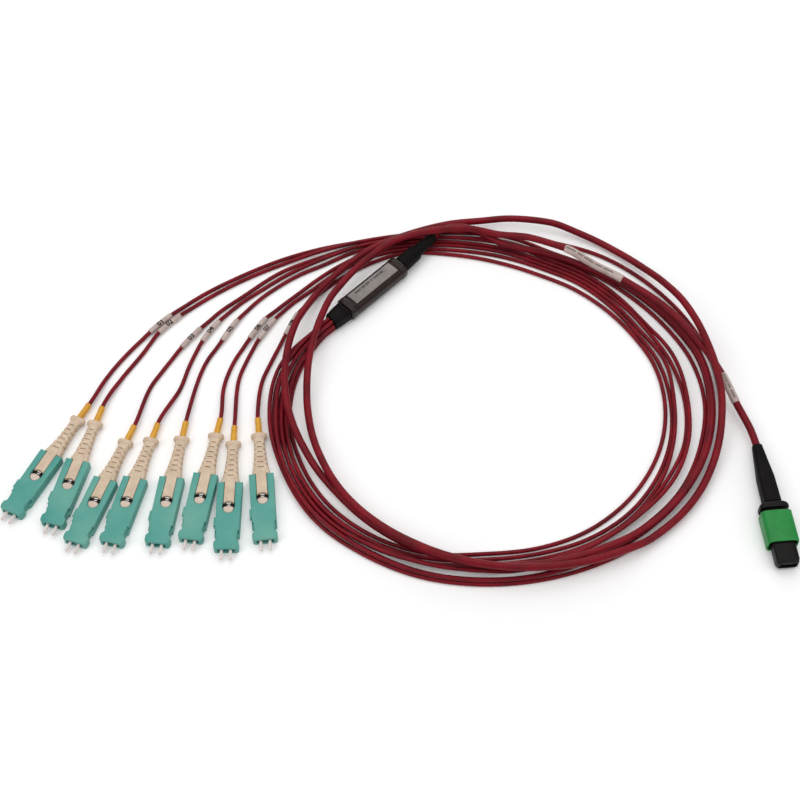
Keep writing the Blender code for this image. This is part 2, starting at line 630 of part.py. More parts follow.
def make_plugs(parts, cutters, mats, legs):
    meshes = {"housing": housing_solid(cutters), "boot": boot_solid(cutters), "plug_core": core_solid(cutters)}
    for kind, mesh in meshes.items():
        mesh.materials.clear()
        mesh.materials.append(mats[kind])
    for leg, ((x, y), heading) in enumerate(PLUGS):
        for kind, mesh in meshes.items():
            obj = mesh_object(f"{kind}_{leg + 1}", mesh, parts)
            obj.location = (x * MM, y * MM, 0)
            obj.rotation_euler = (0, 0, math.radians(heading - 90))
        path = legs[leg]
        rear, back = leg_exit(leg)
        inner = LEG_DIAMETER + 2 * STRAIN_FIT
        ends = [rear + back * (BOOT_LENGTH - STRAIN_INSERT), rear + back * (BOOT_LENGTH + STRAIN_LENGTH)]
        height = HOUSING_HEIGHT / 2
        sleeve_tube(f"strain_sleeve_{leg + 1}", [(*p, height) for p in ends], STRAIN_DIAMETER, inner, parts,
                    cutters, mats["strain_sleeve"])
        marker = path[MARKED]
        inset = (marker[1] - marker[0]) / np.linalg.norm(marker[1] - marker[0]) * SEAT_GAP
        sleeve_tube(f"marker_{leg + 1}", [marker[0] + inset, marker[1] - inset], MARKER_DIAMETER, inner, parts,
                    cutters, mats["marker"])


def make_fan_out(parts, cutters, mats):
    half = FAN_LENGTH / 2
    turn = Matrix.Rotation(math.radians(FAN_HEADING), 4, "Z")
    body = box("fanout_body", (-half, -FAN_WIDTH / 2, 0), (half, FAN_WIDTH / 2, FAN_HEIGHT), parts)
    bevel(body, FAN_EDGE, 2)
    bake_down(body)
    pocket_x, pocket_y = PANEL_LENGTH / 2 + SEAT_GAP, PANEL_WIDTH / 2 + SEAT_GAP
    pocket = box("panel_pocket", (-pocket_x, -pocket_y, FAN_HEIGHT - PANEL_DEPTH),
                 (pocket_x, pocket_y, FAN_HEIGHT + CUT_RUN_OUT), cutters)
    combine(body, pocket, "DIFFERENCE")
    bake_down(body)
    body.data.materials.append(mats["fanout_body"])
    low = FAN_HEIGHT - PANEL_DEPTH + SEAT_GAP
    panel = box("fanout_label", (-PANEL_LENGTH / 2, -PANEL_WIDTH / 2, low),
                (PANEL_LENGTH / 2, PANEL_WIDTH / 2, low + PANEL_THICKNESS), parts)
    panel.data.materials.append(mats["fanout_label"])
    boot = box("fanout_leg_boot", (-half - SEAT_GAP - LEG_BOOT_LENGTH, -LEG_BOOT_WIDTH / 2, SEAT_GAP),
               (-half - SEAT_GAP, LEG_BOOT_WIDTH / 2, SEAT_GAP + LEG_BOOT_HEIGHT), parts)
    for vert in boot.data.vertices:
        if vert.co.x > -half - LEG_BOOT_LENGTH / 2:
            upper = vert.co.z > FAN_HEIGHT / 2
            vert.co.y = math.copysign(FAN_WIDTH / 2 - LEG_BOOT_INSET, vert.co.y)
            vert.co.z = FAN_HEIGHT - LEG_BOOT_INSET if upper else LEG_BOOT_INSET
    bevel(boot, LEG_BOOT_EDGE, 2)
    bake_down(boot)
    boot.data.materials.append(mats["black_boot"])
    profile = [(0, 0), (0, TRUNK_BOOT_WIDE / 2), (TRUNK_BOOT_STEP, TRUNK_BOOT_WIDE / 2 - SEAT_GAP),
               (TRUNK_BOOT_STEP, TRUNK_BOOT_NARROW / 2), (TRUNK_BOOT_LENGTH, TRUNK_BOOT_END / 2),
               (TRUNK_BOOT_LENGTH, 0)]
    trunk_boot = turned("fanout_trunk_boot", profile, ROUND_SIDES, parts, mats["black_boot"])
    bake_down(trunk_boot)
    pitch = Matrix.Rotation(-math.radians(TRUNK_BOOT_PITCH), 4, "Y")
    trunk_boot.data.transform(Matrix.Translation((trunk_boot_root(), 0, FAN_HEIGHT / 2)) @ pitch)
    for obj in (body, panel, boot, trunk_boot):
        obj.rotation_euler = turn.to_euler()


def make_main_plug(parts, cutters, mats):
    middle = SLEEVE_HEIGHT / 2
    base = PLUG_BOOT_LENGTH
    collar_front = base + SEAT_GAP + COLLAR_LENGTH
    sleeve_rear = collar_front + SLEEVE_TRAVEL + SEAT_GAP
    sleeve_front = sleeve_rear + SLEEVE_LENGTH
    frame_front = sleeve_front + FRAME_REACH
    profile = [(0, 0), (0, PLUG_BOOT_END / 2), (PLUG_BOOT_KINK, PLUG_BOOT_BASE / 2 - SEAT_GAP),
               (base, PLUG_BOOT_BASE / 2), (base, 0)]
    boot = bake_down(turned("mpo_boot", profile, ROUND_SIDES, parts, mats["black_boot"]))
    boot.data.transform(Matrix.Translation((0, 0, middle)))
    collar = box("mpo_collar", (base + SEAT_GAP, -COLLAR_WIDTH / 2, middle - COLLAR_HEIGHT / 2),
                 (collar_front, COLLAR_WIDTH / 2, middle + COLLAR_HEIGHT / 2), parts)
    bake_down(bevel(collar, COLLAR_EDGE, 2))
    collar.data.materials.append(mats["mpo_frame"])
    sleeve = box("mpo_sleeve", (sleeve_rear, -SLEEVE_WIDTH / 2, 0), (sleeve_front, SLEEVE_WIDTH / 2, SLEEVE_HEIGHT),
                 parts)
    bake_down(bevel(sleeve, SLEEVE_EDGE, 2))
    room_y, room_z = FRAME_WIDTH / 2 + SEAT_GAP, FRAME_HEIGHT / 2 + SEAT_GAP
    passage = box("sleeve_passage", (sleeve_rear - CUT_RUN_OUT, -room_y, middle - room_z),
                  (sleeve_front + CUT_RUN_OUT, room_y, middle + room_z), cutters)
    bake_down(combine(sleeve, passage, "DIFFERENCE"))
    sleeve.data.materials.append(mats["mpo_sleeve"])
    frame = box("mpo_plug_frame",
                (collar_front + SEAT_GAP, -FRAME_WIDTH / 2, middle - FRAME_HEIGHT / 2),
                (frame_front, FRAME_WIDTH / 2, middle + FRAME_HEIGHT / 2), parts)
    bake_down(bevel(frame, FRAME_EDGE, 2))
    mouth_y, mouth_z = FRAME_MOUTH_WIDTH / 2, FRAME_MOUTH_HEIGHT / 2
    mouth_back = frame_front - FRAME_MOUTH_DEPTH
    mouth = box("frame_mouth", (mouth_back, -mouth_y, middle - mouth_z),
                (frame_front + CUT_RUN_OUT, mouth_y, middle + mouth_z), cutters)
    bake_down(combine(frame, mouth, "DIFFERENCE"))
    frame.data.materials.append(mats["mpo_frame"])
    ferrule = box("mpo_ferrule", (mouth_back + SEAT_GAP, -MT_WIDTH / 2, middle - MT_HEIGHT / 2),
                  (frame_front - MT_SETBACK, MT_WIDTH / 2, middle + MT_HEIGHT / 2), parts)
    ferrule.data.materials.append(mats["mpo_ferrule"])
    for obj in (boot, collar, sleeve, frame, ferrule):
        obj.location = (*PLUG_BOOT_TIP, 0)
        obj.rotation_euler = (0, 0, math.radians(PLUG_HEADING - 90))


def make_trunk(parts, cutters, mats, trunk, marks):
    tube("trunk_cable", trunk, TRUNK_DIAMETER, parts, mats["jacket"])
    s = along(trunk)
    inner = TRUNK_DIAMETER + 2 * LABEL_FIT
    for name, mark, length in (("trunk_label_top", TOP_LABEL, TOP_LABEL_LENGTH),
                               ("trunk_label_near_mpo", NEAR_LABEL, NEAR_LABEL_LENGTH)):
        middle = np.interp(mark, np.arange(len(marks)), marks)
        ends = middle - length / 2, middle + length / 2
        stops = [ends[0]] + [v for v in s if ends[0] < v < ends[1]] + [ends[1]]
        sleeve_tube(name, resample(trunk, stops), LABEL_DIAMETER, inner, parts, cutters, mats["marker"], 3)


def main():
    for obj in list(bpy.data.objects):
        bpy.data.objects.remove(obj)
    parts = new_collection("fibre_breakout_cable")
    cutters = new_collection("cutters")
    mats = {
        "jacket": material("crimson_jacket", (0.205, 0.011, 0.024), 0.42),
        "housing": material("aqua_plastic", (0.12, 0.35, 0.31), 0.4),
        "boot": material("beige_rubber", (0.66, 0.50, 0.37), 0.6),
        "plug_core": material("beige_plastic", (0.62, 0.48, 0.38), 0.5),
        "strain_sleeve": material("orange_sleeve", (0.69, 0.35, 0.026), 0.45),
        "marker": material("label_white", (0.55, 0.45, 0.41), 0.6),
        "fanout_body": material("smoked_housing", (0.042, 0.023, 0.016), 0.25),
        "fanout_label": material("grey_label", (0.21, 0.20, 0.19), 0.55),
        "black_boot": material("black_rubber", (0.010, 0.008, 0.006), 0.55),
        "mpo_sleeve": material("green_plastic", (0.028, 0.25, 0.054), 0.4),
        "mpo_frame": material("black_plastic", (0.010, 0.008, 0.007), 0.35),
        "mpo_ferrule": material("dark_ferrule", (0.02, 0.02, 0.02), 0.3),
    }
    legs, trunk, marks = lay_cords()
    for leg in range(LEG_COUNT):
        tube(f"leg_cable_{leg + 1}", legs[leg], LEG_DIAMETER, parts, mats["jacket"])
    make_trunk(parts, cutters, mats, trunk, marks)
    make_plugs(parts, cutters, mats, legs)
    make_fan_out(parts, cutters, mats)
    make_main_plug(parts, cutters, mats)
    for obj in cutters.objects:
        obj.hide_render = True
        obj.display_type = "WIRE"


main()
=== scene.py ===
import math

import bmesh
import bpy
import numpy as np
from mathutils import Matrix, Vector


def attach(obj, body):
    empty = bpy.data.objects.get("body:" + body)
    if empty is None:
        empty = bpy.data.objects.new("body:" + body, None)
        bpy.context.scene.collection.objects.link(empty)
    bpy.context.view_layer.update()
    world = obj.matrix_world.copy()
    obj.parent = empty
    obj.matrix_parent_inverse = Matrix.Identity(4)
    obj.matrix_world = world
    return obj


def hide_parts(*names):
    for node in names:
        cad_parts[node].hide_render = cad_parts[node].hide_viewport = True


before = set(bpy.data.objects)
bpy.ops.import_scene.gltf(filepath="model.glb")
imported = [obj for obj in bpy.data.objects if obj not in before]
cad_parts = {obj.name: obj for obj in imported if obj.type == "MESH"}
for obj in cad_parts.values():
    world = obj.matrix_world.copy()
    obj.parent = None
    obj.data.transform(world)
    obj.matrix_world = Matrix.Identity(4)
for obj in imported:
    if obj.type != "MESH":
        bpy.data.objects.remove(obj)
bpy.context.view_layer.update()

# All sizes below are in mm; the placing matrix of each piece turns them to metres.
mm = 0.001
seatGap = 0.3   # left between pieces that touch
print("cable scene: start")


# Materials

def linearColour(hexColour):  # sRGB hex to linear RGBA
    channels = [int(hexColour[i:i + 2], 16) / 255 for i in (1, 3, 5)]
    return tuple(c / 12.92 if c <= 0.04045 else ((c + 0.055) / 1.055) ** 2.4 for c in channels) + (1.0,)


def addNode(tree, kind, inputs=None, **settings):  # one node with its settings, values and links
    node = tree.nodes.new("ShaderNode" + kind)
    for name, value in settings.items():
        setattr(node, name, value)
    for socket, value in (inputs or {}).items():
        if isinstance(value, bpy.types.NodeSocket):
            tree.links.new(value, node.inputs[socket])
        else:
            node.inputs[socket].default_value = value
    return node


def firstNode(mat, kind):
    return next(node for node in mat.node_tree.nodes if node.bl_idname == "ShaderNode" + kind)


def noiseScale(sizeMm):  # noise scale for features of a real size, on Object coordinates in metres
    return 1 / (sizeMm * mm)


noise = {"driftDetail": 3.0, "driftRoughness": 0.55, "driftFrom": 0.32, "driftTo": 0.68, "grainDetail": 2.0,
         "grainDepth": 0.3, "scuffDetail": 5.0, "scuffRoughness": 0.7, "scuffFrom": 0.58, "scuffTo": 0.74,
         "stripLines": (1.0, 12.0, 1.0)}


def moulded(name, look):
    # colour drifts between two near shades, gloss drifts with it, and a fine grain breaks the surface
    mat = bpy.data.materials.new(name)
    mat.use_nodes = True
    tree = mat.node_tree
    shader = firstNode(mat, "BsdfPrincipled")
    place = addNode(tree, "TexCoord")
    drift = addNode(tree, "TexNoise", {"Vector": place.outputs["Object"], "Scale": noiseScale(look["drift"]),
            "Detail": noise["driftDetail"],
            "Roughness": noise["driftRoughness"]})
    share = addNode(tree, "MapRange", {"Value": drift.outputs["Fac"], "From Min": noise["driftFrom"],
            "From Max": noise["driftTo"]})
    colour = addNode(tree, "Mix", {"Factor": share.outputs["Result"], "A": linearColour(look["colour"]),
            "B": linearColour(look["shade"])}, data_type="RGBA")
    gloss = addNode(tree, "MapRange", {"Value": drift.outputs["Fac"], "To Min": look["roughness"][0],
            "To Max": look["roughness"][1]})
    grain = addNode(tree, "TexNoise", {"Vector": place.outputs["Object"], "Scale": noiseScale(look["grain"]),
            "Detail": noise["grainDetail"]})
    relief = addNode(tree, "Bump", {"Height": grain.outputs["Fac"], "Strength": look["relief"],
            "Distance": look["grain"] * mm * noise["grainDepth"]})
    tree.links.new(colour.outputs["Result"], shader.inputs["Base Color"])
    tree.links.new(gloss.outputs["Result"], shader.inputs["Roughness"])
    tree.links.new(relief.outputs["Normal"], shader.inputs["Normal"])
    for socket, value in look.get("sockets", {}).items():
        shader.inputs[socket].default_value = value
    return mat


rubbed = {"size": 2.2, "share": 0.15, "colour": "#962a3c"}


def extrudedJacket(name, look):  # paler where the cord has rubbed
    mat = moulded(name, look)
    tree = mat.node_tree
    place = firstNode(mat, "TexCoord")
    scuff = addNode(tree, "TexNoise", {"Vector": place.outputs["Object"], "Scale": noiseScale(rubbed["size"]),
            "Detail": noise["scuffDetail"], "Roughness": noise["scuffRoughness"]})
    mark = addNode(tree, "MapRange", {"Value": scuff.outputs["Fac"], "From Min": noise["scuffFrom"],
            "From Max": noise["scuffTo"], "To Max": rubbed["share"]})
    fresh = firstNode(mat, "Mix").outputs["Result"]
    worn = addNode(tree, "Mix", {"Factor": mark.outputs["Result"], "A": fresh,
            "B": linearColour(rubbed["colour"])}, data_type="RGBA")
    tree.links.new(worn.outputs["Result"], firstNode(mat, "BsdfPrincipled").inputs["Base Color"])
    return mat


def rolledStrip(name, look):  # fine lines along the strip
    mat = moulded(name, look)
    tree = mat.node_tree
    place = firstNode(mat, "TexCoord")
    lines = addNode(tree, "Mapping", {"Vector": place.outputs["Object"], "Scale": noise["stripLines"]})
    for node in tree.nodes:
        if node.bl_idname == "ShaderNodeTexNoise":
            tree.links.new(lines.outputs["Vector"], node.inputs["Vector"])
    return mat


# Each material's colour, second shade, drift size, roughness, grain size, relief and shader sockets
looks = {
    # matt low-smoke jacket of the legs and the trunk
    "lowSmokeJacket": ("#80061a", "#5f0412", 9, (0.42, 0.54), 0.35, 0.12, {"Specular IOR Level": 0.2}),
    # moulded PBT of the duplex plugs' housings
    "aquaPbt": ("#62a294", "#3b9187", 24, (0.36, 0.46), 0.3, 0.14, {"Specular IOR Level": 0.4}),
    # soft thermoplastic elastomer of the push-pull boots
    "beigeElastomer": ("#d6c0a8", "#c5ae95", 3, (0.5, 0.62), 0.25, 0.2,
        {"Subsurface Weight": 0.12, "Subsurface Scale": 0.0006}),
    # harder moulded thumb button
    "beigePbt": ("#d3c1b2", "#c6b2a1", 3, (0.4, 0.5), 0.25, 0.12),
    # inner body of the duplex plug, seen through its mouth, in a dark green that is painted shade of the
    # mouth's recess
    "innerPbtPaintedShade": ("#24544e", "#1d433f", 2, (0.5, 0.6), 0.25, 0.2),
    # polished zirconia ceramic
    "zirconia": ("#e0d7d2", "#d6cbc6", 1.5, (0.12, 0.2), 0.12, 0.03,
        {"Subsurface Weight": 0.1, "Subsurface Scale": 0.0005}),
    # elastomer of the strain sleeves
    "orangeElastomer": ("#dba32f", "#cb901f", 2, (0.36, 0.5), 0.3, 0.2,
        {"Subsurface Weight": 0.1, "Subsurface Scale": 0.0005}),
    # polyester film wrapped round the cords
    "polyesterFilm": ("#c3b0a9", "#ab9790", 4, (0.34, 0.48), 0.4, 0.1,
        {"Coat Weight": 0.2, "Coat Roughness": 0.25}),
    # printed resin ink
    "resinInk": ("#171211", "#231d1b", 0.6, (0.5, 0.7), 0.2, 0.1, {"Specular IOR Level": 0.2}),
    # glossy smoked polycarbonate of the fan-out's shell
    "smokedPolycarbonate": ("#2a1711", "#150b08", 5, (0.22, 0.34), 0.5, 0.04,
        {"Specular IOR Level": 0.16, "Coat Weight": 0.06, "Coat Roughness": 0.1}),
    # the same polycarbonate at its clear-edged end rims
    "rimPolycarbonate": ("#2b1c17", "#170e0b", 3, (0.16, 0.26), 0.5, 0.04,
        {"Specular IOR Level": 0.2, "Coat Weight": 0.1, "Coat Roughness": 0.08}),
    # printed vinyl label let into the fan-out's top
    "greyVinyl": ("#827a76", "#6e6763", 5, (0.3, 0.42), 0.3, 0.06,
        {"Coat Weight": 0.1, "Coat Roughness": 0.25}),
    # elastomer of the fan-out's and the main plug's boots
    "blackElastomer": ("#0f0b0a", "#090706", 4, (0.55, 0.7), 0.3, 0.25, {"Specular IOR Level": 0.12}),
    # moulded PBT of the main plug's collar and frame
    "blackPbt": ("#110e0c", "#0b0908", 5, (0.32, 0.44), 0.3, 0.12, {"Specular IOR Level": 0.15}),
    # moulded PBT of the coupling sleeve
    "greenPbt": ("#178539", "#127830", 5, (0.36, 0.46), 0.3, 0.14, {"Specular IOR Level": 0.35}),
    # bright cold-rolled steel strip
    "springSteel": ("#d8d6d2", "#b5b3b0", 1, (0.18, 0.3), 0.1, 0.08, {"Metallic": 1.0}),
    # white paper sweep of the studio floor
    "studioPaper": ("#fbfbfb", "#f8f8f8", 160, (0.85, 0.95), 2, 0.02,
        {"Emission Color": (1, 1, 1, 1), "Emission Strength": 0.06}),
}
lookFields = ("colour", "shade", "drift", "roughness", "grain", "relief", "sockets")
makers = {"lowSmokeJacket": extrudedJacket, "springSteel": rolledStrip}
mats = {name: makers.get(name, moulded)(name, dict(zip(lookFields, look))) for name, look in looks.items()}
print("materials:", len(mats))


def linked(name, data):  # a new object in the scene
    obj = bpy.data.objects.new(name, data)
    bpy.context.scene.collection.objects.link(obj)
    return obj


# Mesh tools, all working in mm

def loft(sections, sides=24, ring=False):
    # skins rounded-square sections (x, half width, low z, high z, squareness) with bridge_loops
    bm = bmesh.new()
    rings = []
    for x, half, low, high, square in sections:
        made = bmesh.ops.create_circle(bm, cap_ends=False, segments=sides, radius=1.0)
        for vert in made["verts"]:
            c, s = vert.co.x, vert.co.y
            vert.co = (x, half * math.copysign(abs(c) ** (2 / square), c),
                       (low + high) / 2 + (high - low) / 2 * math.copysign(abs(s) ** (2 / square), s))
        rings.append(list({edge for vert in made["verts"] for edge in vert.link_edges}))
    pairs = list(zip(rings, rings[1:])) + ([(rings[-1], rings[0])] if ring else [])
    for first, second in pairs:
        bmesh.ops.bridge_loops(bm, edges=first + second)
    if not ring:
        bmesh.ops.edgeloop_fill(bm, edges=rings[0])
        bmesh.ops.edgeloop_fill(bm, edges=rings[-1])
    bmesh.ops.recalc_face_normals(bm, faces=bm.faces)
    return bm


def turned(profile, steps=32, closed=False, height=0.0):
    # spins (x, radius) points about the X axis, then lifts the result
    bm = bmesh.new()
    verts = [bm.verts.new((x, 0, r)) for x, r in profile]
    edges = [bm.edges.new(pair) for pair in zip(verts, verts[1:])]
    if closed:
        edges.append(bm.edges.new((verts[-1], verts[0])))
    bmesh.ops.spin(bm, geom=verts + edges, cent=(0, 0, 0), axis=(1, 0, 0), angle=2 * math.pi, steps=steps,
            use_merge=True)
    bmesh.ops.remove_doubles(bm, verts=bm.verts, dist=0.001)
    bmesh.ops.recalc_face_normals(bm, faces=bm.faces)
    bmesh.ops.translate(bm, verts=bm.verts, vec=(0, 0, height))
    return bm


def bevelEdges(bm, edges, width, segments):
    bmesh.ops.bevel(bm, geom=edges, offset=width, segments=segments, profile=0.5, affect="EDGES", material=-1,
            clamp_overlap=True)


def plate(outline, low, high, rim=0.3, corner=0.0, segments=2, bottomRim=None):
    # extrudes a flat outline, rounds its upright edges, then its rims
    bm = bmesh.new()
    face = bm.faces.new([bm.verts.new((x, y, low)) for x, y in outline])
    made = bmesh.ops.extrude_face_region(bm, geom=[face])
    risen = [g for g in made["geom"] if isinstance(g, bmesh.types.BMVert)]
    bmesh.ops.translate(bm, verts=risen, vec=(0, 0, high - low))
    bmesh.ops.recalc_face_normals(bm, faces=bm.faces)
    if corner:
        upright = [e for e in bm.edges if abs(e.verts[0].co.z - e.verts[1].co.z) > (high - low) / 2]
        bevelEdges(bm, upright, corner, 3)
    for level, width in ((high, rim), (low, rim if bottomRim is None else bottomRim)):
        if width:
            edges = [e for e in bm.edges if all(abs(v.co.z - level) < 0.001 for v in e.verts)]
            bevelEdges(bm, edges, width, segments)
    return bm


def block(low, high, rounding=0.2, segments=2):
    bm = bmesh.new()
    bmesh.ops.create_cube(bm, size=1.0)
    low, high = Vector(low), Vector(high)
    bmesh.ops.scale(bm, vec=high - low, verts=bm.verts)
    bmesh.ops.translate(bm, vec=(low + high) / 2, verts=bm.verts)
    if rounding:
        bevelEdges(bm, bm.edges[:], rounding, segments)
    return bm


def joined(*parts):  # several closed shapes in one bmesh
    bm = bmesh.new()
    for part in parts:
        mesh = bpy.data.meshes.new("part")
        part.to_mesh(mesh)
        part.free()
        bm.from_mesh(mesh)
        bpy.data.meshes.remove(mesh)
    return bm


def cutAway(bm, cutter):  # bm less the cutter, by an exact Boolean
    holders = []
    for shape in (bm, cutter):
        mesh = bpy.data.meshes.new("cut")
        shape.to_mesh(mesh)
        shape.free()
        holders.append(linked("cut", mesh))
    body, tool = holders
    change = body.modifiers.new("Cut", "BOOLEAN")
    change.operation = "DIFFERENCE"
    change.solver = "EXACT"
    change.object = tool
    graph = bpy.context.evaluated_depsgraph_get()
    result = bpy.data.meshes.new_from_object(body.evaluated_get(graph))
    out = bmesh.new()
    out.from_mesh(result)
    for holder in holders:
        mesh = holder.data
        bpy.data.objects.remove(holder)
        bpy.data.meshes.remove(mesh)
    bpy.data.meshes.remove(result)
    return out


def arc(centre, radius, start, end, count):  # points of an arc, angles in degrees
    angles = np.radians(np.linspace(start, end, count))
    return [(centre[0] + radius * math.cos(a), centre[1] + radius * math.sin(a)) for a in angles]


def mirrored(half):  # a closed outline from its +Y half, which runs rear to front
    return half + [(x, -y) for x, y in reversed(half)]


def addPiece(name, bm, matrix, mat, body="cable", nodes=(), sharp=38):
    mesh = bpy.data.meshes.new(name)
    own = bm.copy()
    bmesh.ops.transform(own, matrix=matrix @ Matrix.Scale(mm, 4), verts=own.verts)
    own.to_mesh(mesh)
    own.free()
    mesh.shade_smooth()
    mesh.set_sharp_from_angle(angle=math.radians(sharp))
    mesh.materials.clear()
    mesh.materials.append(mat)
    return ridden(linked(name, mesh), body, nodes)


def ridden(obj, body, nodes):
    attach(obj, body)
    if nodes:
        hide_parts(*nodes)
    return obj


def placed(x, y, degrees, z=0.0):  # local +X turned to a direction in plan
    return Matrix.Translation((x * mm, y * mm, z * mm)) @ Matrix.Rotation(math.radians(degrees), 4, "Z")


# Camera, lights and floor

view = {"tilt": 56.1, "distance": 600, "lookAt": (11.65, -54.9), "focalPx": 1467.2, "imagePx": 800,
        "sensor": 36, "clipStart": 0.01}
studio = {"world": 0.4, "floorHalf": 4000,
          # each light's place in metres, its size and its power
          "lights": {"overhead": ((0.0, 0.1, 1.1), 1.3, 6.5), "keySide": ((-0.8, -0.5, 0.9), 0.7, 3.5),
        "fillSide": ((0.9, -0.3, 0.7), 0.8, 2.0), "backRim": ((0.1, 1.0, 0.6), 0.8, 2.2)}}


def makeStage():
    tilt = math.radians(view["tilt"])
    lens = bpy.data.cameras.new("camera")
    lens.sensor_width = view["sensor"]
    lens.lens = view["focalPx"] / view["imagePx"] * view["sensor"]
    lens.clip_start = view["clipStart"]
    camera = linked("camera", lens)
    camera.location = (view["lookAt"][0] * mm, (view["lookAt"][1] - view["distance"] * math.cos(tilt)) * mm,
            view["distance"] * math.sin(tilt) * mm)
    camera.rotation_euler = (math.pi / 2 - tilt, 0, 0)
    bpy.context.scene.camera = camera
    target = Vector((view["lookAt"][0] * mm, view["lookAt"][1] * mm, 0))
    for name, (spot, size, power) in studio["lights"].items():
        lamp = bpy.data.lights.new(name, "AREA")
        lamp.size = size
        lamp.energy = power
        holder = linked(name, lamp)
        holder.location = spot
        holder.rotation_euler = (target - Vector(spot)).to_track_quat("-Z", "Y").to_euler()
    world = bpy.data.worlds.new("studio")
    world.use_nodes = True
    sky = world.node_tree.nodes["Background"].inputs
    sky["Color"].default_value = (1, 1, 1, 1)
    sky["Strength"].default_value = studio["world"]
    bpy.context.scene.world = world
    bpy.context.scene.view_settings.view_transform = "Standard"
    floor = bmesh.new()
    bmesh.ops.create_grid(floor, x_segments=1, y_segments=1, size=studio["floorHalf"])
    mesh = bpy.data.meshes.new("floor")
    bmesh.ops.scale(floor, vec=(mm, mm, mm), verts=floor.verts)
    floor.to_mesh(mesh)
    floor.free()
    mesh.materials.append(mats["studioPaper"])
    linked("floor", mesh)


makeStage()
print("stage ready")


# Cords, on the CAD solids' routes, but the trunk leaves its boot in a wider bend and climbs more gently

cords = {
    "legDiameter": 1.7, "trunkDiameter": 3.0, "space": 0.25, "legHump": 16, "trunkHump": 24, "layStep": 1.5,
    "legRunIn": 7, "trunkRunOut": 3, "trunkPoints": 86, "coilCentre": (51, -49), "coilStep": 15,
    "legCoilStart": 100, "trunkCoilStart": 85, "fine": 4, "trunkFine": 8, "steepest": 0.22,
    "markerDiameter": 2.44, "markerLength": 12.3, "sleeveFit": 0.15, "labelDiameter": 3.5,
    "topLabelLength": 28.6, "nearLabelLength": 13.4, "marked": slice(7, 9),
}
fan = {"heading": 46.2, "length": 33.6, "width": 10.0, "height": 7.8, "legBootLength": 8.0,
       "trunkBootLength": 20.5, "trunkBootWide": 7.4, "trunkBootStep": 9.5, "trunkBootNarrow": 5.4,
       "trunkBootEnd": 4.6, "trunkBootPitch": 5.0, "trunkBootSpace": 0.45, "legRowLift": 0.6}
plug = {"height": 4.0, "bootLength": 19.5, "strainDiameter": 2.5, "strainLength": 7.5, "strainInsert": 3.0}
mpo = {"heading": 5.0, "bootTip": (153.4, -79.6), "bootLength": 26.5, "height": 7.8}

# Each duplex plug: its housing's rear edge, and its heading in degrees from -Y towards +X
plugs = [
    ((-126.4, -82.9), -25.6), ((-115.5, -86.1), -13.6), ((-103.7, -94.6), -18.0), ((-92.1, -94.2), -13.2),
    ((-77.8, -93.9), -6.6), ((-64.6, -92.3), -7.9), ((-54.8, -96.2), 0.3), ((-42.9, -92.3), 6.0),
]

# Each leg's route from its plug to the coil. Its marker lies between the third and fourth points.
legTails = [
    [(-108.4, -43), (-101, -31), (-94, -22), (-85, -12), (-73, -1.5), (-57, 9), (-40, 18), (-23, 24.3),
     (-6, 28.3), (14, 31.9)],
    [(-103, -45), (-96, -33), (-90, -22), (-81.3, -12.4), (-71, -3.5), (-57, 6.2), (-40, 15.3), (-23, 21.9),
     (-6, 27.1), (14, 30.9)],
    [(-91, -50), (-87, -42), (-80, -30), (-72, -19), (-65, -10.5), (-56, -2.5), (-40, 11), (-23, 19.4),
     (-6, 25.9), (14, 29.9)],
    [(-78.5, -50), (-75.5, -38), (-71, -26), (-65, -16), (-57, -6.5), (-48, 1.2), (-38, 8.9), (-23, 16.9),
     (-6, 24.7), (14, 28.9)],
    [(-71.5, -46), (-68.5, -36), (-63, -26), (-57, -15), (-49, -4.5), (-41, 3), (-32, 9.6), (-22, 15),
     (-6, 23.5), (14, 27.9)],
    [(-60.6, -49), (-57.5, -37), (-51.5, -25), (-45, -14), (-39, -7.5), (-31, 0.3), (-23, 8), (-14, 15.2),
     (-4, 21.2), (14, 25.9)],
    [(-54.8, -46), (-52, -36), (-48, -26), (-41, -14), (-34.5, -6.2), (-26.5, 1), (-18.5, 8.4), (-10, 14.7),
     (-1, 19.7), (14, 23.9)],
    [(-45.2, -47), (-42, -37), (-36.5, -23), (-31.5, -11.5), (-26.5, -4.5), (-21, 1.2), (-14, 7.6),
     (-6.5, 13), (2, 17.8), (14, 21.9)],
]

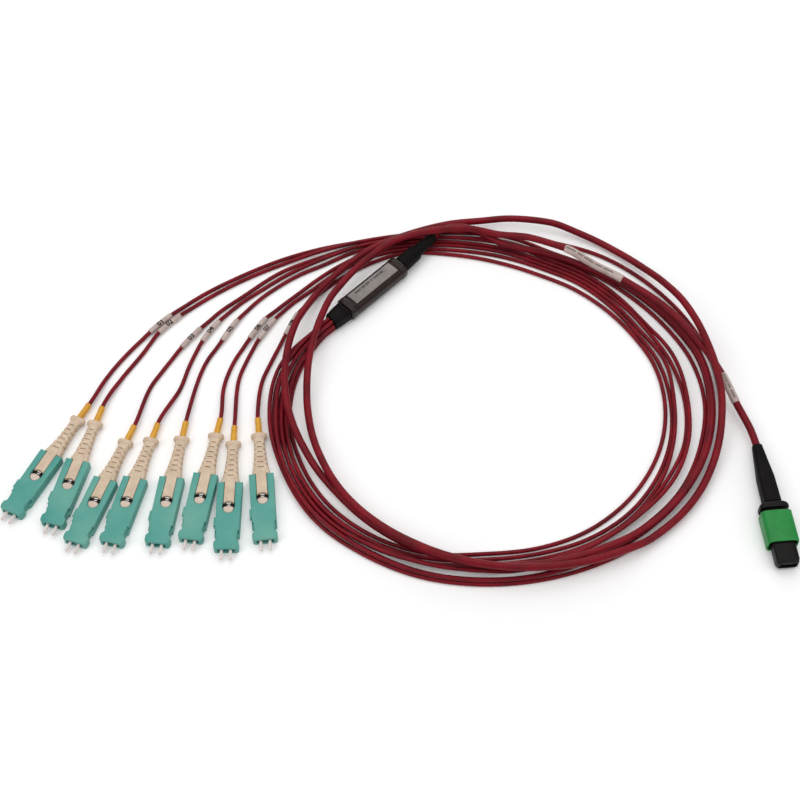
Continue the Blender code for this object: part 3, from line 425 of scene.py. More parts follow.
# Each leg's distance from the coil's middle, at every coil step clockwise
legTurns = [
    [84.0, 81.8, 81.9, 84.5, 86.3, 88.6, 91.0, 91.8, 92.4, 92.0, 90.2, 89.2, 89.3, 90.5, 92.5, 94.0, 95.8,
     94.8, 93.4, 89.2],
    [82.5, 79.7, 76.2, 76.1, 77.9, 81.3, 85.2, 86.6, 87.3, 88.0, 87.2, 87.0, 88.1, 89.4, 91.4, 92.9, 94.7,
     93.7, 90.8, 86.7],
    [81.0, 77.6, 74.1, 73.9, 75.3, 78.4, 82.6, 85.2, 85.7, 86.1, 85.2, 84.8, 87.0, 88.4, 90.4, 91.8, 93.6,
     93.3, 91.9, 87.8],
    [79.6, 75.6, 72.1, 71.8, 71.4, 72.1, 75.6, 77.9, 80.6, 81.9, 81.6, 82.6, 84.8, 86.3, 88.3, 90.7, 92.5,
     91.5, 88.6, 84.6],
    [78.2, 73.6, 70.1, 69.8, 69.4, 70.1, 73.5, 77.1, 79.4, 79.8, 80.5, 81.4, 82.7, 84.2, 87.2, 88.6, 90.4,
     89.4, 86.4, 82.5],
    [76.1, 71.5, 68.1, 67.8, 67.4, 68.1, 71.4, 72.4, 74.8, 77.7, 79.5, 80.3, 80.6, 82.1, 86.2, 89.6, 91.5,
     91.1, 89.7, 85.6],
    [73.4, 68.9, 66.1, 65.8, 65.4, 66.1, 69.1, 71.3, 73.7, 75.7, 77.4, 78.1, 78.3, 79.9, 84.1, 87.5, 89.4,
     89.0, 87.5, 83.5],
    [70.5, 65.2, 62.3, 62.1, 62.6, 64.1, 66.9, 68.9, 70.6, 72.0, 73.5, 75.0, 76.0, 77.5, 82.0, 85.4, 87.2,
     86.8, 85.3, 81.4],
]
legGrid = [(-1, 1), (-0.5, 2), (0, 1), (0.5, 2), (1, 1), (-1, 0), (0, 0), (1, 0)]  # across and up, in pitches
layingOrder = [7, 6, 5, 4, 2, 0, 3, 1]

# The trunk's distance from the coil's middle, at every coil step clockwise
trunkTurns = [
    72.9, 72.6, 73.7, 76.8, 81.3, 85.4, 87.4, 88.2, 88.0, 87.1, 86.1, 85.3, 84.6, 83.7, 82.6, 81.9, 83.5,
    85.6, 86.6, 87.4, 87.9, 87.4, 85.9, 86.0, 87.3, 89.0, 89.7, 89.1, 88.0, 88.3, 90.2, 92.2, 92.8, 91.8,
    90.1, 88.0, 86.1, 84.5, 82.9, 81.3, 79.4, 77.8, 77.2, 78.2, 80.7, 82.5, 81.1, 78.5, 75.2, 73.4, 73.8,
    76.5, 81.3, 87.2,
]
trunkHead = [(33.2, 32.7), (38.9, 33.3), (43.6, 31.7), (50.3, 27.9)]  # its first bend out of the boot
trunkTail = [(141.3, -43.2), (145.3, -53.2), (149.0, -63), (152.0, -72)]
topLabel, nearLabel = 50.1, 55.0  # the route point under each label's middle
overPass = (24, 49)  # route points between which the trunk lies over its own last stretch


def headingVector(degrees):
    a = math.radians(degrees)
    return np.array([math.sin(a), -math.cos(a)])


def direction(degrees):
    a = math.radians(degrees)
    return np.array([math.cos(a), math.sin(a)])


def coilPoint(radius, degrees):
    return np.array(cords["coilCentre"]) + radius * direction(degrees)


def coilTurn(radii, start):  # route points clockwise round the coil
    return [coilPoint(r, start - cords["coilStep"] * i) for i, r in enumerate(radii)]


def fanAxis():
    return direction(fan["heading"])


def smoothRoute(route, steps):  # points on a smooth curve through the route, steps[i] in each interval
    p = np.array(route, float)
    p = np.vstack([2 * p[0] - p[1], p, 2 * p[-1] - p[-2]])
    out = []
    for i in range(1, len(p) - 2):
        a, b, c, d = p[i - 1:i + 3]
        t0, t1, t2, t3 = np.cumsum([0.0] + [np.linalg.norm(v) ** 0.5 for v in (b - a, c - b, d - c)])
        for k in range(steps[i - 1]):
            t = t1 + (t2 - t1) * k / steps[i - 1]
            a1 = (t1 - t) / (t1 - t0) * a + (t - t0) / (t1 - t0) * b
            a2 = (t2 - t) / (t2 - t1) * b + (t - t1) / (t2 - t1) * c
            a3 = (t3 - t) / (t3 - t2) * c + (t - t2) / (t3 - t2) * d
            b1 = (t2 - t) / (t2 - t0) * a1 + (t - t0) / (t2 - t0) * a2
            b2 = (t3 - t) / (t3 - t1) * a2 + (t - t1) / (t3 - t1) * a3
            out.append((t2 - t) / (t2 - t1) * b1 + (t - t1) / (t2 - t1) * b2)
    out.append(p[-2])
    return np.array(out)


def along(points):
    return np.concatenate([[0.0], np.cumsum(np.linalg.norm(np.diff(points, axis=0), axis=1))])


def resample(points, spots):
    s = along(points)
    return np.stack([np.interp(spots, s, points[:, k]) for k in range(points.shape[1])], 1)


def dense(points):
    total = along(points)[-1]
    return resample(points, np.linspace(0, total, int(total / cords["layStep"]) + 2))


def neededHeights(plan, radius, laid):  # lowest centre height that clears the floor and the cords below
    need = np.full(len(plan), radius)
    for cord, cordRadius in laid:
        reach = radius + cordRadius + cords["space"]
        away = np.linalg.norm(plan[:, None, :] - cord[None, :, :2], axis=2)
        lift = cord[None, :, 2] + np.sqrt(np.clip(reach ** 2 - away ** 2, 0, None))
        need = np.maximum(need, np.where(away < reach, lift, 0).max(axis=1))
    return need


def humped(sFine, need, sPoints, radius, hump):  # long low humps over every need
    step = np.diff(sPoints).max()
    off = np.abs(sPoints[:, None] - sFine[None, :])
    share = np.clip(1 - np.clip((off - step) / hump, 0, 1) ** 2, 0, 1) ** 2
    return radius + ((need - radius)[None, :] * share).max(axis=1)


def lay(plan, radius, hump, laid, start=None, end=None):
    fine = dense(plan)
    sPoints = along(plan)
    z = humped(along(fine), neededHeights(fine, radius, laid), sPoints, radius, hump)
    for fixed, s in ((start, sPoints), (end, sPoints[-1] - sPoints)):
        if fixed is not None:
            height, hold, run = fixed
            t = np.clip((s - hold) / run, 0, 1)
            z = z + (height - z) * (1 - t * t * (3 - 2 * t))
    return np.column_stack([plan, z])


def eased(s, sPoints, heights):  # smooth heights between points, with no overshoot
    slopes = np.diff(heights) / np.diff(sPoints)
    tangents = np.zeros(len(heights))
    same = slopes[:-1] * slopes[1:] > 0
    tangents[1:-1][same] = 2 * slopes[:-1][same] * slopes[1:][same] / (slopes[:-1] + slopes[1:])[same]
    i = np.clip(np.searchsorted(sPoints, s, side="right") - 1, 0, len(sPoints) - 2)
    width = sPoints[i + 1] - sPoints[i]
    t = (s - sPoints[i]) / width
    return ((1 + 2 * t) * (1 - t) ** 2 * heights[i] + t * (1 - t) ** 2 * width * tangents[i]
            + t * t * (3 - 2 * t) * heights[i + 1] + t * t * (t - 1) * width * tangents[i + 1])


def legPlan(leg, fine=1):
    (x, y), heading = plugs[leg]
    rear, back = np.array([x, y]), -headingVector(heading)
    start = rear + back * (plug["bootLength"] - plug["strainInsert"])
    sleeveEnd = rear + back * (plug["bootLength"] + plug["strainLength"] + cords["legDiameter"])
    tail = [np.array(p) for p in legTails[leg]]
    middle, way = (tail[2] + tail[3]) / 2, (tail[3] - tail[2]) / np.linalg.norm(tail[3] - tail[2])
    reach = way * (cords["markerLength"] / 2 + seatGap)
    tail[2:4] = [middle - reach, middle + reach]
    turn = coilTurn(legTurns[leg], cords["legCoilStart"])
    axis = fanAxis()
    across = np.array([axis[1], -axis[0]])
    column = legGrid[leg][0] * (cords["legDiameter"] + seatGap)
    mouth = -axis * (fan["length"] / 2 + seatGap + fan["legBootLength"] + seatGap) + across * column
    route = [start, sleeveEnd] + tail + turn + [mouth - axis * cords["legRunIn"], mouth]
    steps = [1, 2, 2, 2, 1] + [2] * (len(route) - 7) + [1]
    return smoothRoute(route, [n * fine for n in steps])


def trunkBootTip():
    pitch = math.radians(fan["trunkBootPitch"])
    return (trunkBootRoot() + fan["trunkBootLength"] * math.cos(pitch),
            fan["height"] / 2 + fan["trunkBootLength"] * math.sin(pitch))


def trunkBootRoot():
    pitch = math.radians(fan["trunkBootPitch"])
    return fan["length"] / 2 + seatGap + fan["trunkBootWide"] / 2 * math.sin(pitch)


def trunkBootEnd():  # the boot's narrow end as a cord, for later stretches to lie on
    pitch = math.radians(fan["trunkBootPitch"])
    ends = []
    for reach in (fan["trunkBootStep"], fan["trunkBootLength"]):
        x, y = fanAxis() * (trunkBootRoot() + reach * math.cos(pitch))
        ends.append((x, y, fan["height"] / 2 + reach * math.sin(pitch)))
    return dense(np.array(ends)), fan["trunkBootNarrow"] / 2


def trunkPlan():
    axis = fanAxis()
    exitPoint = axis * (trunkBootTip()[0] + fan["trunkBootSpace"])
    turn = coilTurn(trunkTurns, cords["trunkCoilStart"])
    plugEnd = np.array(mpo["bootTip"]) - headingVector(mpo["heading"]) * seatGap
    head, tail = ([np.array(p) for p in points] for points in (trunkHead, trunkTail))
    route = [exitPoint, exitPoint + axis * cords["trunkRunOut"]] + head + turn + tail + [plugEnd]
    fine = smoothRoute(route, [cords["trunkFine"]] * (len(route) - 1))
    s = along(fine)
    marks = s[np.arange(2 + len(head), len(route)) * cords["trunkFine"]]  # from the coil's first point on
    runOut = cords["trunkRunOut"]
    even = np.linspace(3 * runOut, s[-1] - runOut, cords["trunkPoints"] - 3)
    return fine, resample(fine, np.concatenate([[0, runOut], even, s[-1:]])), marks


def layCords():
    legs, laid = {}, []
    for leg in layingOrder:
        row = legGrid[leg][1] * (cords["legDiameter"] + seatGap)
        row = row + cords["legDiameter"] / 2 + fan["legRowLift"]
        hold = plug["strainInsert"] + plug["strainLength"] + 2 * cords["legDiameter"]
        radius = cords["legDiameter"] / 2
        hump = cords["legHump"]
        coarse = lay(legPlan(leg), radius, hump, laid, (plug["height"] / 2, hold, hump),
                (row, cords["legRunIn"], hump))
        marked = coarse[cords["marked"], 2]
        coarse[cords["marked"], 2] = np.maximum(marked, cords["markerDiameter"] / 2 + cords["sleeveFit"])
        laid.append((dense(coarse), radius))
        plan = legPlan(leg, cords["fine"])
        heights = eased(along(plan), along(plan)[::cords["fine"]], coarse[:, 2])
        legs[leg] = np.column_stack([plan, heights])
    return legs, layTrunk(laid)


def layTrunk(laid):
    finePlan, plan, marks = trunkPlan()
    radius = cords["trunkDiameter"] / 2
    s = along(plan)
    first, last = np.searchsorted(s, [marks[overPass[0]], marks[overPass[1]]])
    heights = np.zeros(len(plan))
    own = list(laid)
    fanEnd = (trunkBootTip()[1], cords["trunkRunOut"], cords["trunkHump"])
    plugEnd = (mpo["height"] / 2, cords["trunkRunOut"], cords["trunkHump"])
    for part, start, end in ((slice(0, first + 1), fanEnd, None), (slice(last, len(plan)), None, plugEnd),
            (slice(first, last + 1), None, None)):
        piece = lay(plan[part], radius, cords["trunkHump"], own, start, end)
        heights[part] = np.maximum(heights[part], piece[:, 2])
        own += [(dense(piece), radius), trunkBootEnd()]
    # it climbs gently to each crossing
    heights = (heights - cords["steepest"] * np.abs(s[:, None] - s)).max(axis=1)
    sFine = along(finePlan)
    return np.column_stack([finePlan, eased(sFine, s * sFine[-1] / s[-1], heights)]), marks


def roundCord(name, points, diameter, mat, nodes, sides=3, swell=None):
    curve = bpy.data.curves.new(name, "CURVE")
    curve.dimensions = "3D"
    curve.bevel_depth = diameter / 2 * mm
    curve.bevel_resolution = sides
    curve.use_fill_caps = True
    spline = curve.splines.new("POLY")
    spline.use_smooth = True
    spline.points.add(len(points) - 1)
    for i, (point, co) in enumerate(zip(spline.points, points)):
        point.co = (*(co * mm), 1)
        point.radius = 1.0 if swell is None else swell[i]
    curve.materials.append(mat)
    return ridden(linked(name, curve), "cable", nodes)


wrap = {"inner": 0.25, "drawn": [0.86, 0.985], "steps": 12}


def film(name, path, low, high, diameter, nodes):
    # a wrapped film label: a sleeve on the cord's own path, its ends drawn in over the cord
    inner, drawn, steps = wrap["inner"], wrap["drawn"], wrap["steps"]
    spots = np.concatenate([[low, low + inner], np.linspace(low + 2 * inner, high - 2 * inner, steps),
            [high - inner, high]])
    swell = drawn + [1.0] * steps + drawn[::-1]
    return roundCord(name, resample(path, spots), diameter, mats["polyesterFilm"], nodes, 4,
            swell)


legs, (trunk, trunkMarks) = layCords()
print("cords laid")


# Plain two-digit numbers on the leg markers

markerPrint = {"size": 3.1, "bold": 0.1, "thick": 0.02, "lift": 0.03, "strip": 0.2, "lean": -0.35}


def onCord(path, s):  # a frame on a cord: X along it, Z up and leaning a little to the front
    here, ahead = (Vector(p) for p in resample(path, [s, s + 0.5]))
    tangent = (ahead - here).normalized()
    up = Vector((0, markerPrint["lean"], 1))
    up = (up - tangent * up.dot(tangent)).normalized()
    return Matrix.Translation(here) @ Matrix((tangent, up.cross(tangent), up)).transposed().to_4x4()


def digits(name, text, path, middle, radius):  # text wrapped round a cord, reading along it
    font = bpy.data.curves.new(name, "FONT")
    font.body = text
    font.size = markerPrint["size"]
    font.offset = markerPrint["bold"]
    font.align_x = "CENTER"
    font.align_y = "CENTER"
    font.extrude = markerPrint["thick"]
    font.resolution_u = 3
    holder = linked(name, font)
    graph = bpy.context.evaluated_depsgraph_get()
    mesh = bpy.data.meshes.new_from_object(holder.evaluated_get(graph))
    bpy.data.objects.remove(holder)
    bpy.data.curves.remove(font)
    bm = bmesh.new()
    bm.from_mesh(mesh)
    bpy.data.meshes.remove(mesh)
    bmesh.ops.remove_doubles(bm, verts=bm.verts, dist=0.0005)
    for level in np.arange(-radius, radius, markerPrint["strip"]):
        bmesh.ops.bisect_plane(bm, geom=bm.verts[:] + bm.edges[:] + bm.faces[:], plane_co=(0, level, 0),
                plane_no=(0, 1, 0))
    at = onCord(path, middle)
    for vert in bm.verts:
        angle, reach = vert.co.y / radius, radius + markerPrint["lift"] + vert.co.z
        vert.co = at @ Vector((vert.co.x, reach * math.sin(angle), reach * math.cos(angle)))
    return addPiece(name, bm, Matrix.Identity(4), mats["resinInk"], sharp=60)


# Small print that can't be read in the photo: each word is a row of plain strokes

smallPrint = {"stroke": 0.24, "space": 0.8, "half": 0.36, "sink": 0.08, "stand": 0.03}


def strokeSpots(start, words):
    spots = []
    for word in words:
        spots += list(np.arange(start, start + word, 2 * smallPrint["stroke"]))
        start += word + smallPrint["space"]
    return spots


def printOnCord(name, path, start, words, radius):
    strokes = []
    half, thick = smallPrint["half"], smallPrint["stroke"] / 2
    low, high = radius - smallPrint["sink"], radius + smallPrint["stand"]
    for spot in strokeSpots(start, words):
        stroke = block((-thick, -half, low), (thick, half, high), 0)
        bmesh.ops.transform(stroke, matrix=onCord(path, spot), verts=stroke.verts)
        strokes.append(stroke)
    return addPiece(name, joined(*strokes), Matrix.Identity(4), mats["resinInk"])


# Duplex push-pull plug, in its own frame: +X forward from the housing's rear edge, floor at z 0

housing = {"length": 29.3, "rearHalf": 4.9, "waistHalf": 4.66, "lowerHalf": 4.84, "slotHalf": 2.2,
           "seam": 2.0, "seamGap": 0.03, "band": (8.9, 9.3, 10.9), "bandHalf": 2.42,
           "wing": (15.5, 19.3, 5.38, 1.1, 3.65), "wingRoot": 4.3, "upperStep": 21.3, "upperStepHalf": 4.14,
           "lowerStep": 23.2, "lowerStepHalf": 4.3,
           "neck": 24.8, "neckHalf": 3.82, "noseHalf": 4.84, "rim": 0.26, "mouthHalf": 3.3, "mouthDepth": 1.1,
           "mouthLow": 1.0, "mouthHigh": 3.0}
button = {"x": 11.57, "radius": 2.05, "gap": 0.09, "drop": 0.1, "rearX": 14.1, "rearRadius": 3.5}
tongue = {"x": 11.62, "radius": 3.07, "half": 2.05, "low": 2.3}
ferrule = {"radius": 0.625, "pitch": 3.5, "reach": 3.9, "start": 26}


def noseOutline(neckHalf):
    neck, nose, end = housing["neck"], housing["noseHalf"], housing["length"]
    return [(neck, neckHalf), (neck + 0.6, neckHalf + 0.1), (neck + 1.15, nose - 0.3), (neck + 1.8, nose),
            (end - 1.25, nose), (end - 0.4, nose - 0.25), (end, nose - 0.75)]


def pocketOutline():  # the tongue's slot, wider at the dark band and round about the button
    rear, wide, front = housing["band"]
    slot, half = housing["slotHalf"], housing["bandHalf"]
    rim = arc((button["x"], 0), button["radius"] + button["gap"], -75, 75, 15)
    return ([(0, -slot), (rear, -slot), (wide, -half), (front, -half)] + rim
            + [(front, half), (wide, half), (rear, slot), (0, slot)])


def makeHousing():
    h = housing
    start, end, tip, wingLow, wingHigh = h["wing"]
    lowerHalf = [(0, h["rearHalf"]), (start, h["lowerHalf"]), (h["lowerStep"], h["lowerHalf"] - 0.04),
            (h["lowerStep"], h["lowerStepHalf"])] + noseOutline(h["neckHalf"] + 0.15)
    upperHalf = [(0, h["rearHalf"]), (start, h["waistHalf"]), (h["upperStep"], h["waistHalf"] - 0.06),
            (h["upperStep"], h["upperStepHalf"])] + noseOutline(h["neckHalf"])
    lower = plate(mirrored(lowerHalf), 0, h["seam"] - h["seamGap"], rim=0.04, corner=0.15, bottomRim=h["rim"])
    upper = plate(mirrored(upperHalf) + pocketOutline(), h["seam"], plug["height"], rim=h["rim"],
            bottomRim=0.0)
    wings = [block((start, min(side * h["wingRoot"], side * tip), wingLow),
            (end, max(side * h["wingRoot"], side * tip), wingHigh), 0.12) for side in (-1, 1)]
    shell = joined(lower, upper, *wings)
    mouth = block((h["length"] - h["mouthDepth"], -h["mouthHalf"], h["mouthLow"]),
            (h["length"] + 1, h["mouthHalf"], h["mouthHigh"]), 0.25)
    return cutAway(shell, mouth)


def makeButton():  # round thumb button, cut off behind where the latch shows
    front = arc((button["x"], 0), button["radius"], -72, 72, 17)
    rear = arc((button["rearX"], 0), button["rearRadius"], 145, 215, 9)
    return plate(front + rear, housing["seam"] + 0.05, plug["height"] - button["drop"], rim=0.35, segments=3,
            bottomRim=0.0)


# sizes of the black plate that paints the shade in the latch well
latchWellShade = {"back": 0.33, "front": 0.3, "lift": 0.02, "top": 2.8, "rim": 0.08}


def makeLatchWellShade():  # black plate in the well between tongue and button: painted shade of the well
    back = arc((tongue["x"], 0), tongue["radius"] + latchWellShade["back"], 224, 136, 11)
    front = arc((button["rearX"], 0), button["rearRadius"] - latchWellShade["front"], 138, 222, 9)
    return plate(back + front, housing["seam"] + latchWellShade["lift"], latchWellShade["top"], rim=latchWellShade["rim"],
            bottomRim=0.0)


# each fold's lowest and highest corner, and its rounding
latchFolds = (((8.8, -0.95, 2.6), (9.35, 0.95, 3.4), 0.16), ((9.65, -0.7, 2.6), (10.1, 0.7, 3.2), 0.12))


def makeLatchSpring():  # folded end of the steel latch spring, standing in the well
    return joined(*(block(*fold) for fold in latchFolds))


core = {"rear": 19.0, "setBack": 0.75, "half": 3.05, "low": 1.12, "high": 2.88, "edge": 0.15}


def makeCore():
    return block((core["rear"], -core["half"], core["low"]),
            (housing["length"] - core["setBack"], core["half"], core["high"]), core["edge"])


def makeFerrule(side):
    end = housing["length"] + ferrule["reach"]
    radius = ferrule["radius"]
    bm = turned([(ferrule["start"], 0), (ferrule["start"], radius), (end - 0.35, radius),
            (end - 0.1, radius - 0.12), (end, radius - 0.3), (end, 0)], steps=20,
                height=plug["height"] / 2)
    bmesh.ops.translate(bm, verts=bm.verts, vec=(0, side * ferrule["pitch"] / 2, 0))
    return bm


boot = {"slots": 7, "firstSlot": -14.95, "pitch": 2.33, "rearHalf": 2.12, "flare": 1.3, "flareStart": -16.4,
        "flareLength": 15.2, "groove": 0.44, "slotHalf": 1.25, "slotWidth": 0.5, "slotDepth": 0.7,
        "low": 0.28, "high": 3.72, "boreRadius": 1.5, "boreDepth": 4.15, "legBore": 0.93, "legBoreDepth": 4.6}

# the flange at the boot's rear end, and its edge at the housing
bootFlange = [(0.0, 2.75, 0.5, 3.5, 2.2), (0.15, 3.1, 0.15, 3.85, 2.2), (0.55, 3.28, 0, 4.0, 2.2),
        (1.5, 3.28, 0, 4.0, 2.2), (1.95, 3.05, 0.15, 3.85, 2.2), (2.15, 2.55, 0.35, 3.65, 2.4),
        (2.3, 2.42, 0.32, 3.68, 2.6), (2.8, 2.42, 0.32, 3.68, 2.8),
        (3.0, boot["rearHalf"], 0.35, 3.65, 3.2)]
bootEdge = [(-1.75, 3.42, 0.2, 3.8, 4.0), (-0.55, 3.6, 0.2, 3.8, 4.5), (-0.3, 3.5, 0.3, 3.7, 4.5)]


def bootHalf(x):  # the body widens faster and faster towards the housing
    return boot["rearHalf"] + boot["flare"] * max(0.0, (x - boot["flareStart"]) / boot["flareLength"]) ** 1.9


def makeBoot():
    b = boot
    rear = -plug["bootLength"]
    sections = [(rear + x, *rest) for x, *rest in bootFlange]
    slots = [b["firstSlot"] + i * b["pitch"] for i in range(b["slots"])]
    for slot in slots[:-2]:  # a groove down both sides, half-way between the slots
        for offset, inset in ((-0.5, 0), (-0.28, b["groove"]), (0.2, b["groove"]), (0.45, -0.05)):
            x = slot + b["pitch"] / 2 + offset
            sections.append((x, bootHalf(x) - inset, b["low"] + inset / 3, b["high"] - inset / 3, 3.4))
    sections += [(-1.95, bootHalf(-1.95), 0.25, 3.75, 3.6)] + bootEdge
    body = loft(sections, sides=32)
    cuts = []
    for i, x in enumerate(slots):
        half = b["slotHalf"] * (0.75 + 0.35 * i / (b["slots"] - 1))
        for low, high in ((b["high"] - b["slotDepth"], 4.5), (-0.5, b["low"] + b["slotDepth"])):
            cuts.append(block((x - b["slotWidth"] / 2, -half, low), (x + b["slotWidth"] / 2, half, high),
                    0.12))
    body = cutAway(body, joined(*cuts))
    half = tongue["half"]
    tip = arc((tongue["x"], 0), tongue["radius"], 222, 138, 9)
    outline = [(-2.6, -half + 0.2), (0, -half)] + tip + [(0, half), (-2.6, half - 0.2)]
    top = plate(outline, tongue["low"], plug["height"], rim=0.26, bottomRim=0.0)
    wide, deep = rear + b["boreDepth"], rear + b["legBoreDepth"]
    bore = turned([(rear - 1, 0), (rear - 1, b["boreRadius"]), (wide, b["boreRadius"]), (wide, b["legBore"]),
            (deep, b["legBore"]), (deep, 0)], height=plug["height"] / 2)
    return cutAway(joined(body, top), bore)


strain = {"fit": 0.1, "short": 0.25, "steps": 12, "grooves": (3, 4, 8), "groove": 0.05, "lead": 0.05}


def makeStrainSleeve():  # it ends short of the bore's bottom, so that the boot can slide back over it
    outer, inner = plug["strainDiameter"] / 2, cords["legDiameter"] / 2 + strain["fit"]
    start = -plug["bootLength"] - plug["strainLength"]
    end = -plug["bootLength"] + plug["strainInsert"] - strain["short"]
    body = [(start + strain["lead"] + (end - start) * k / strain["steps"],
             outer - (strain["groove"] if k in strain["grooves"] else 0.0)) for k in range(strain["steps"])]
    return turned([(start, inner), (start, outer - 0.1)] + body + [(end, outer), (end, inner)], closed=True,
            height=plug["height"] / 2)


def makePlugs():
    # each shape with its material, record slot, body and the CAD node it replaces
    shapes = {
        "plugHousing": (makeHousing(), "aquaPbt", "aqua_plastic", "cable", "housing"),
        "plugButton": (makeButton(), "beigePbt", "beige_plastic", "cable", None),
        # the latch well's black plate is painted shade
        "latchWellShade": (makeLatchWellShade(), "blackPbt", "beige_plastic", "cable", None),
        "latchSpring": (makeLatchSpring(), "springSteel", "beige_plastic", "cable", None),
        # the inner body's dark green is painted shade inside the mouth
        "innerBody": (makeCore(), "innerPbtPaintedShade", "beige_plastic", "cable", "plug_core"),
        "ferruleLeft": (makeFerrule(1), "zirconia", "beige_plastic", "cable", None),
        "ferruleRight": (makeFerrule(-1), "zirconia", "beige_plastic", "cable", None),
        "ribbedBoot": (makeBoot(), "beigeElastomer", "beige_rubber", "push_pull_boot", "boot"),
        "strainSleeve": (makeStrainSleeve(), "orangeElastomer", "orange_sleeve", "cable", "strain_sleeve"),
    }
    for leg, ((x, y), heading) in enumerate(plugs):
        n = leg + 1
        at = placed(x, y, heading - 90)
        for name, (shape, mat, slot, body, node) in shapes.items():
            addPiece(f"{name}_{n}", shape, at, mats[mat],
                    body if body == "cable" else f"{body}_{n}", [f"{node}_{n}"] if node else [])
        path = legs[leg]
        s = along(path)
        low = s[cords["marked"].start * cords["fine"]] + seatGap
        high = s[(cords["marked"].start + 1) * cords["fine"]] - seatGap
        film(f"markerSleeve_{n}", path, low, high, cords["markerDiameter"], [f"marker_{n}"])
        digits(f"markerNumber_{n}", f"0{n}", path, (low + high) / 2, cords["markerDiameter"] / 2)
        outward = path[::-1]
        cable = roundCord(f"leg_{n}", outward, cords["legDiameter"], mats["lowSmokeJacket"],
                [f"leg_cable_{n}"])
    for shape, *rest in shapes.values():
        shape.free()


makePlugs()
print("duplex plugs and legs made")


# Fan-out: smoked shell between two end rims, with a grey label let into its top and a boot at each end

shell = {"square": 3.0, "rim": 3.3, "recess": 0.12, "sides": 48}
label = {"half": 12.4, "reach": 27, "proud": 0.08, "thick": 0.1, "across": 12, "lengthwise": 20}
labelPrint = {"words": (3.1, 1.6, 2.4, 0.8, 2.9, 1.9), "start": -9.2, "height": 1.0, "across": 0.8}
trunkBoot = {"grooves": 6, "first": 1.0, "pitch": 1.6, "depth": 0.22}


def fanSection(x, inset, extra=0.0):  # a section of the fan-out, drawn in all round by an inset
    return (x, fan["width"] / 2 - inset - extra, inset, fan["height"] - inset, shell["square"])


def makeShell(at):
    half = fan["length"] / 2
    inner, recess = half - shell["rim"], shell["recess"]
    body = loft([fanSection(-inner - 0.4, 0.4), fanSection(-inner, recess), fanSection(-inner + 0.5, recess),
            fanSection(inner - 0.5, recess), fanSection(inner, recess), fanSection(inner + 0.4, 0.4)],
                sides=shell["sides"])
    addPiece("fanoutShell", body, at, mats["smokedPolycarbonate"], nodes=["fanout_body"])
    for name, side in (("fanoutRimLegs", -1), ("fanoutRimTrunk", 1)):
        ends = [fanSection(side * x, inset, extra) for x, inset, extra in (
            (inner + 0.05, 0.3, 0), (inner + 0.15, 0.06, 0), (inner + 0.4, 0, 0), (half - 0.9, 0, 0),
            (half - 0.35, 0.1, 0), (half - 0.05, 0.45, 0.05), (half, 0.9, 0.1))]
        addPiece(name, loft(ends, sides=shell["sides"]), at, mats["rimPolycarbonate"])


def makeFanLabel(at):
    sheet = bmesh.new()
    bmesh.ops.create_grid(sheet, x_segments=label["across"], y_segments=label["lengthwise"], size=1.0)
    top, power = fan["height"] / 2, 2 / shell["square"]
    lift = label["proud"] - shell["recess"]
    for vert in sheet.verts:
        angle = math.pi / 2 + vert.co.y * math.radians(label["reach"])
        c, s = math.cos(angle), math.sin(angle)
        vert.co = (vert.co.x * label["half"], (fan["width"] / 2 + lift) * math.copysign(abs(c) ** power, c),
                   top + (top + lift) * s ** power)
    bmesh.ops.recalc_face_normals(sheet, faces=sheet.faces)
    bmesh.ops.solidify(sheet, geom=sheet.faces[:], thickness=label["thick"])
    bmesh.ops.recalc_face_normals(sheet, faces=sheet.faces)
    addPiece("fanoutLabel", sheet, at, mats["greyVinyl"], nodes=["fanout_label"])


def makeLabelPrint(at):
    base = fan["height"] + label["proud"] - shell["recess"] + label["thick"]
    low, across = base - smallPrint["sink"], labelPrint["across"]
    strokes = [block((x, across, low), (x + smallPrint["stroke"], across + labelPrint["height"],
            base + smallPrint["stand"]), 0)
               for x in strokeSpots(labelPrint["start"], labelPrint["words"])]
    addPiece("fanoutPrint", joined(*strokes), at, mats["resinInk"])


def makeFanBoots(at):
    half = fan["length"] / 2
    # the leg boot: a ring against the shell, then a smooth wedge
    wedge = [(0.3, 3.9, 0.5, 7.3, 3.0), (0.5, 4.15, 0.35, 7.45, 3.0), (1.5, 4.15, 0.35, 7.45, 3.0),
             (1.7, 3.85, 0.5, 7.2, 3.0), (2.0, 3.85, 0.5, 7.2, 3.0), (2.2, 4.05, 0.4, 7.4, 3.2),
             (5.0, 3.8, 0.4, 7.25, 3.3), (7.6, 3.45, 0.42, 7.0, 3.4), (8.05, 3.35, 0.5, 6.9, 3.4),
             (8.28, 3.1, 0.7, 6.65, 3.4)]
    sections = [(-half - x, *rest) for x, *rest in wedge]
    addPiece("fanoutLegBoot", loft(sections, sides=40), at, mats["blackElastomer"],
             nodes=["fanout_leg_boot"])
    wide, step, narrow = fan["trunkBootWide"] / 2, fan["trunkBootStep"], fan["trunkBootNarrow"] / 2
    end, length = fan["trunkBootEnd"] / 2, fan["trunkBootLength"]
    profile = [(0, 0), (0, wide - 0.3), (0.3, wide), (step - 0.5, wide - 0.25), (step, wide - 0.6),
               (step, narrow)]
    for k in range(trunkBoot["grooves"]):
        x = step + trunkBoot["first"] + k * trunkBoot["pitch"]
        r = narrow + (end - narrow) * (x - step) / (length - step)
        profile += [(x, r), (x + 0.15, r - trunkBoot["depth"]), (x + 0.55, r - trunkBoot["depth"] - 0.02),
                    (x + 0.7, r - 0.04)]
    profile += [(length - 0.25, end), (length, end - 0.2), (length, 0)]
    pitch = Matrix.Rotation(-math.radians(fan["trunkBootPitch"]), 4, "Y")
    root = Matrix.Translation((trunkBootRoot() * mm, 0, fan["height"] / 2 * mm))
    addPiece("fanoutTrunkBoot", turned(profile, steps=40), at @ root @ pitch, mats["blackElastomer"],
             nodes=["fanout_trunk_boot"])


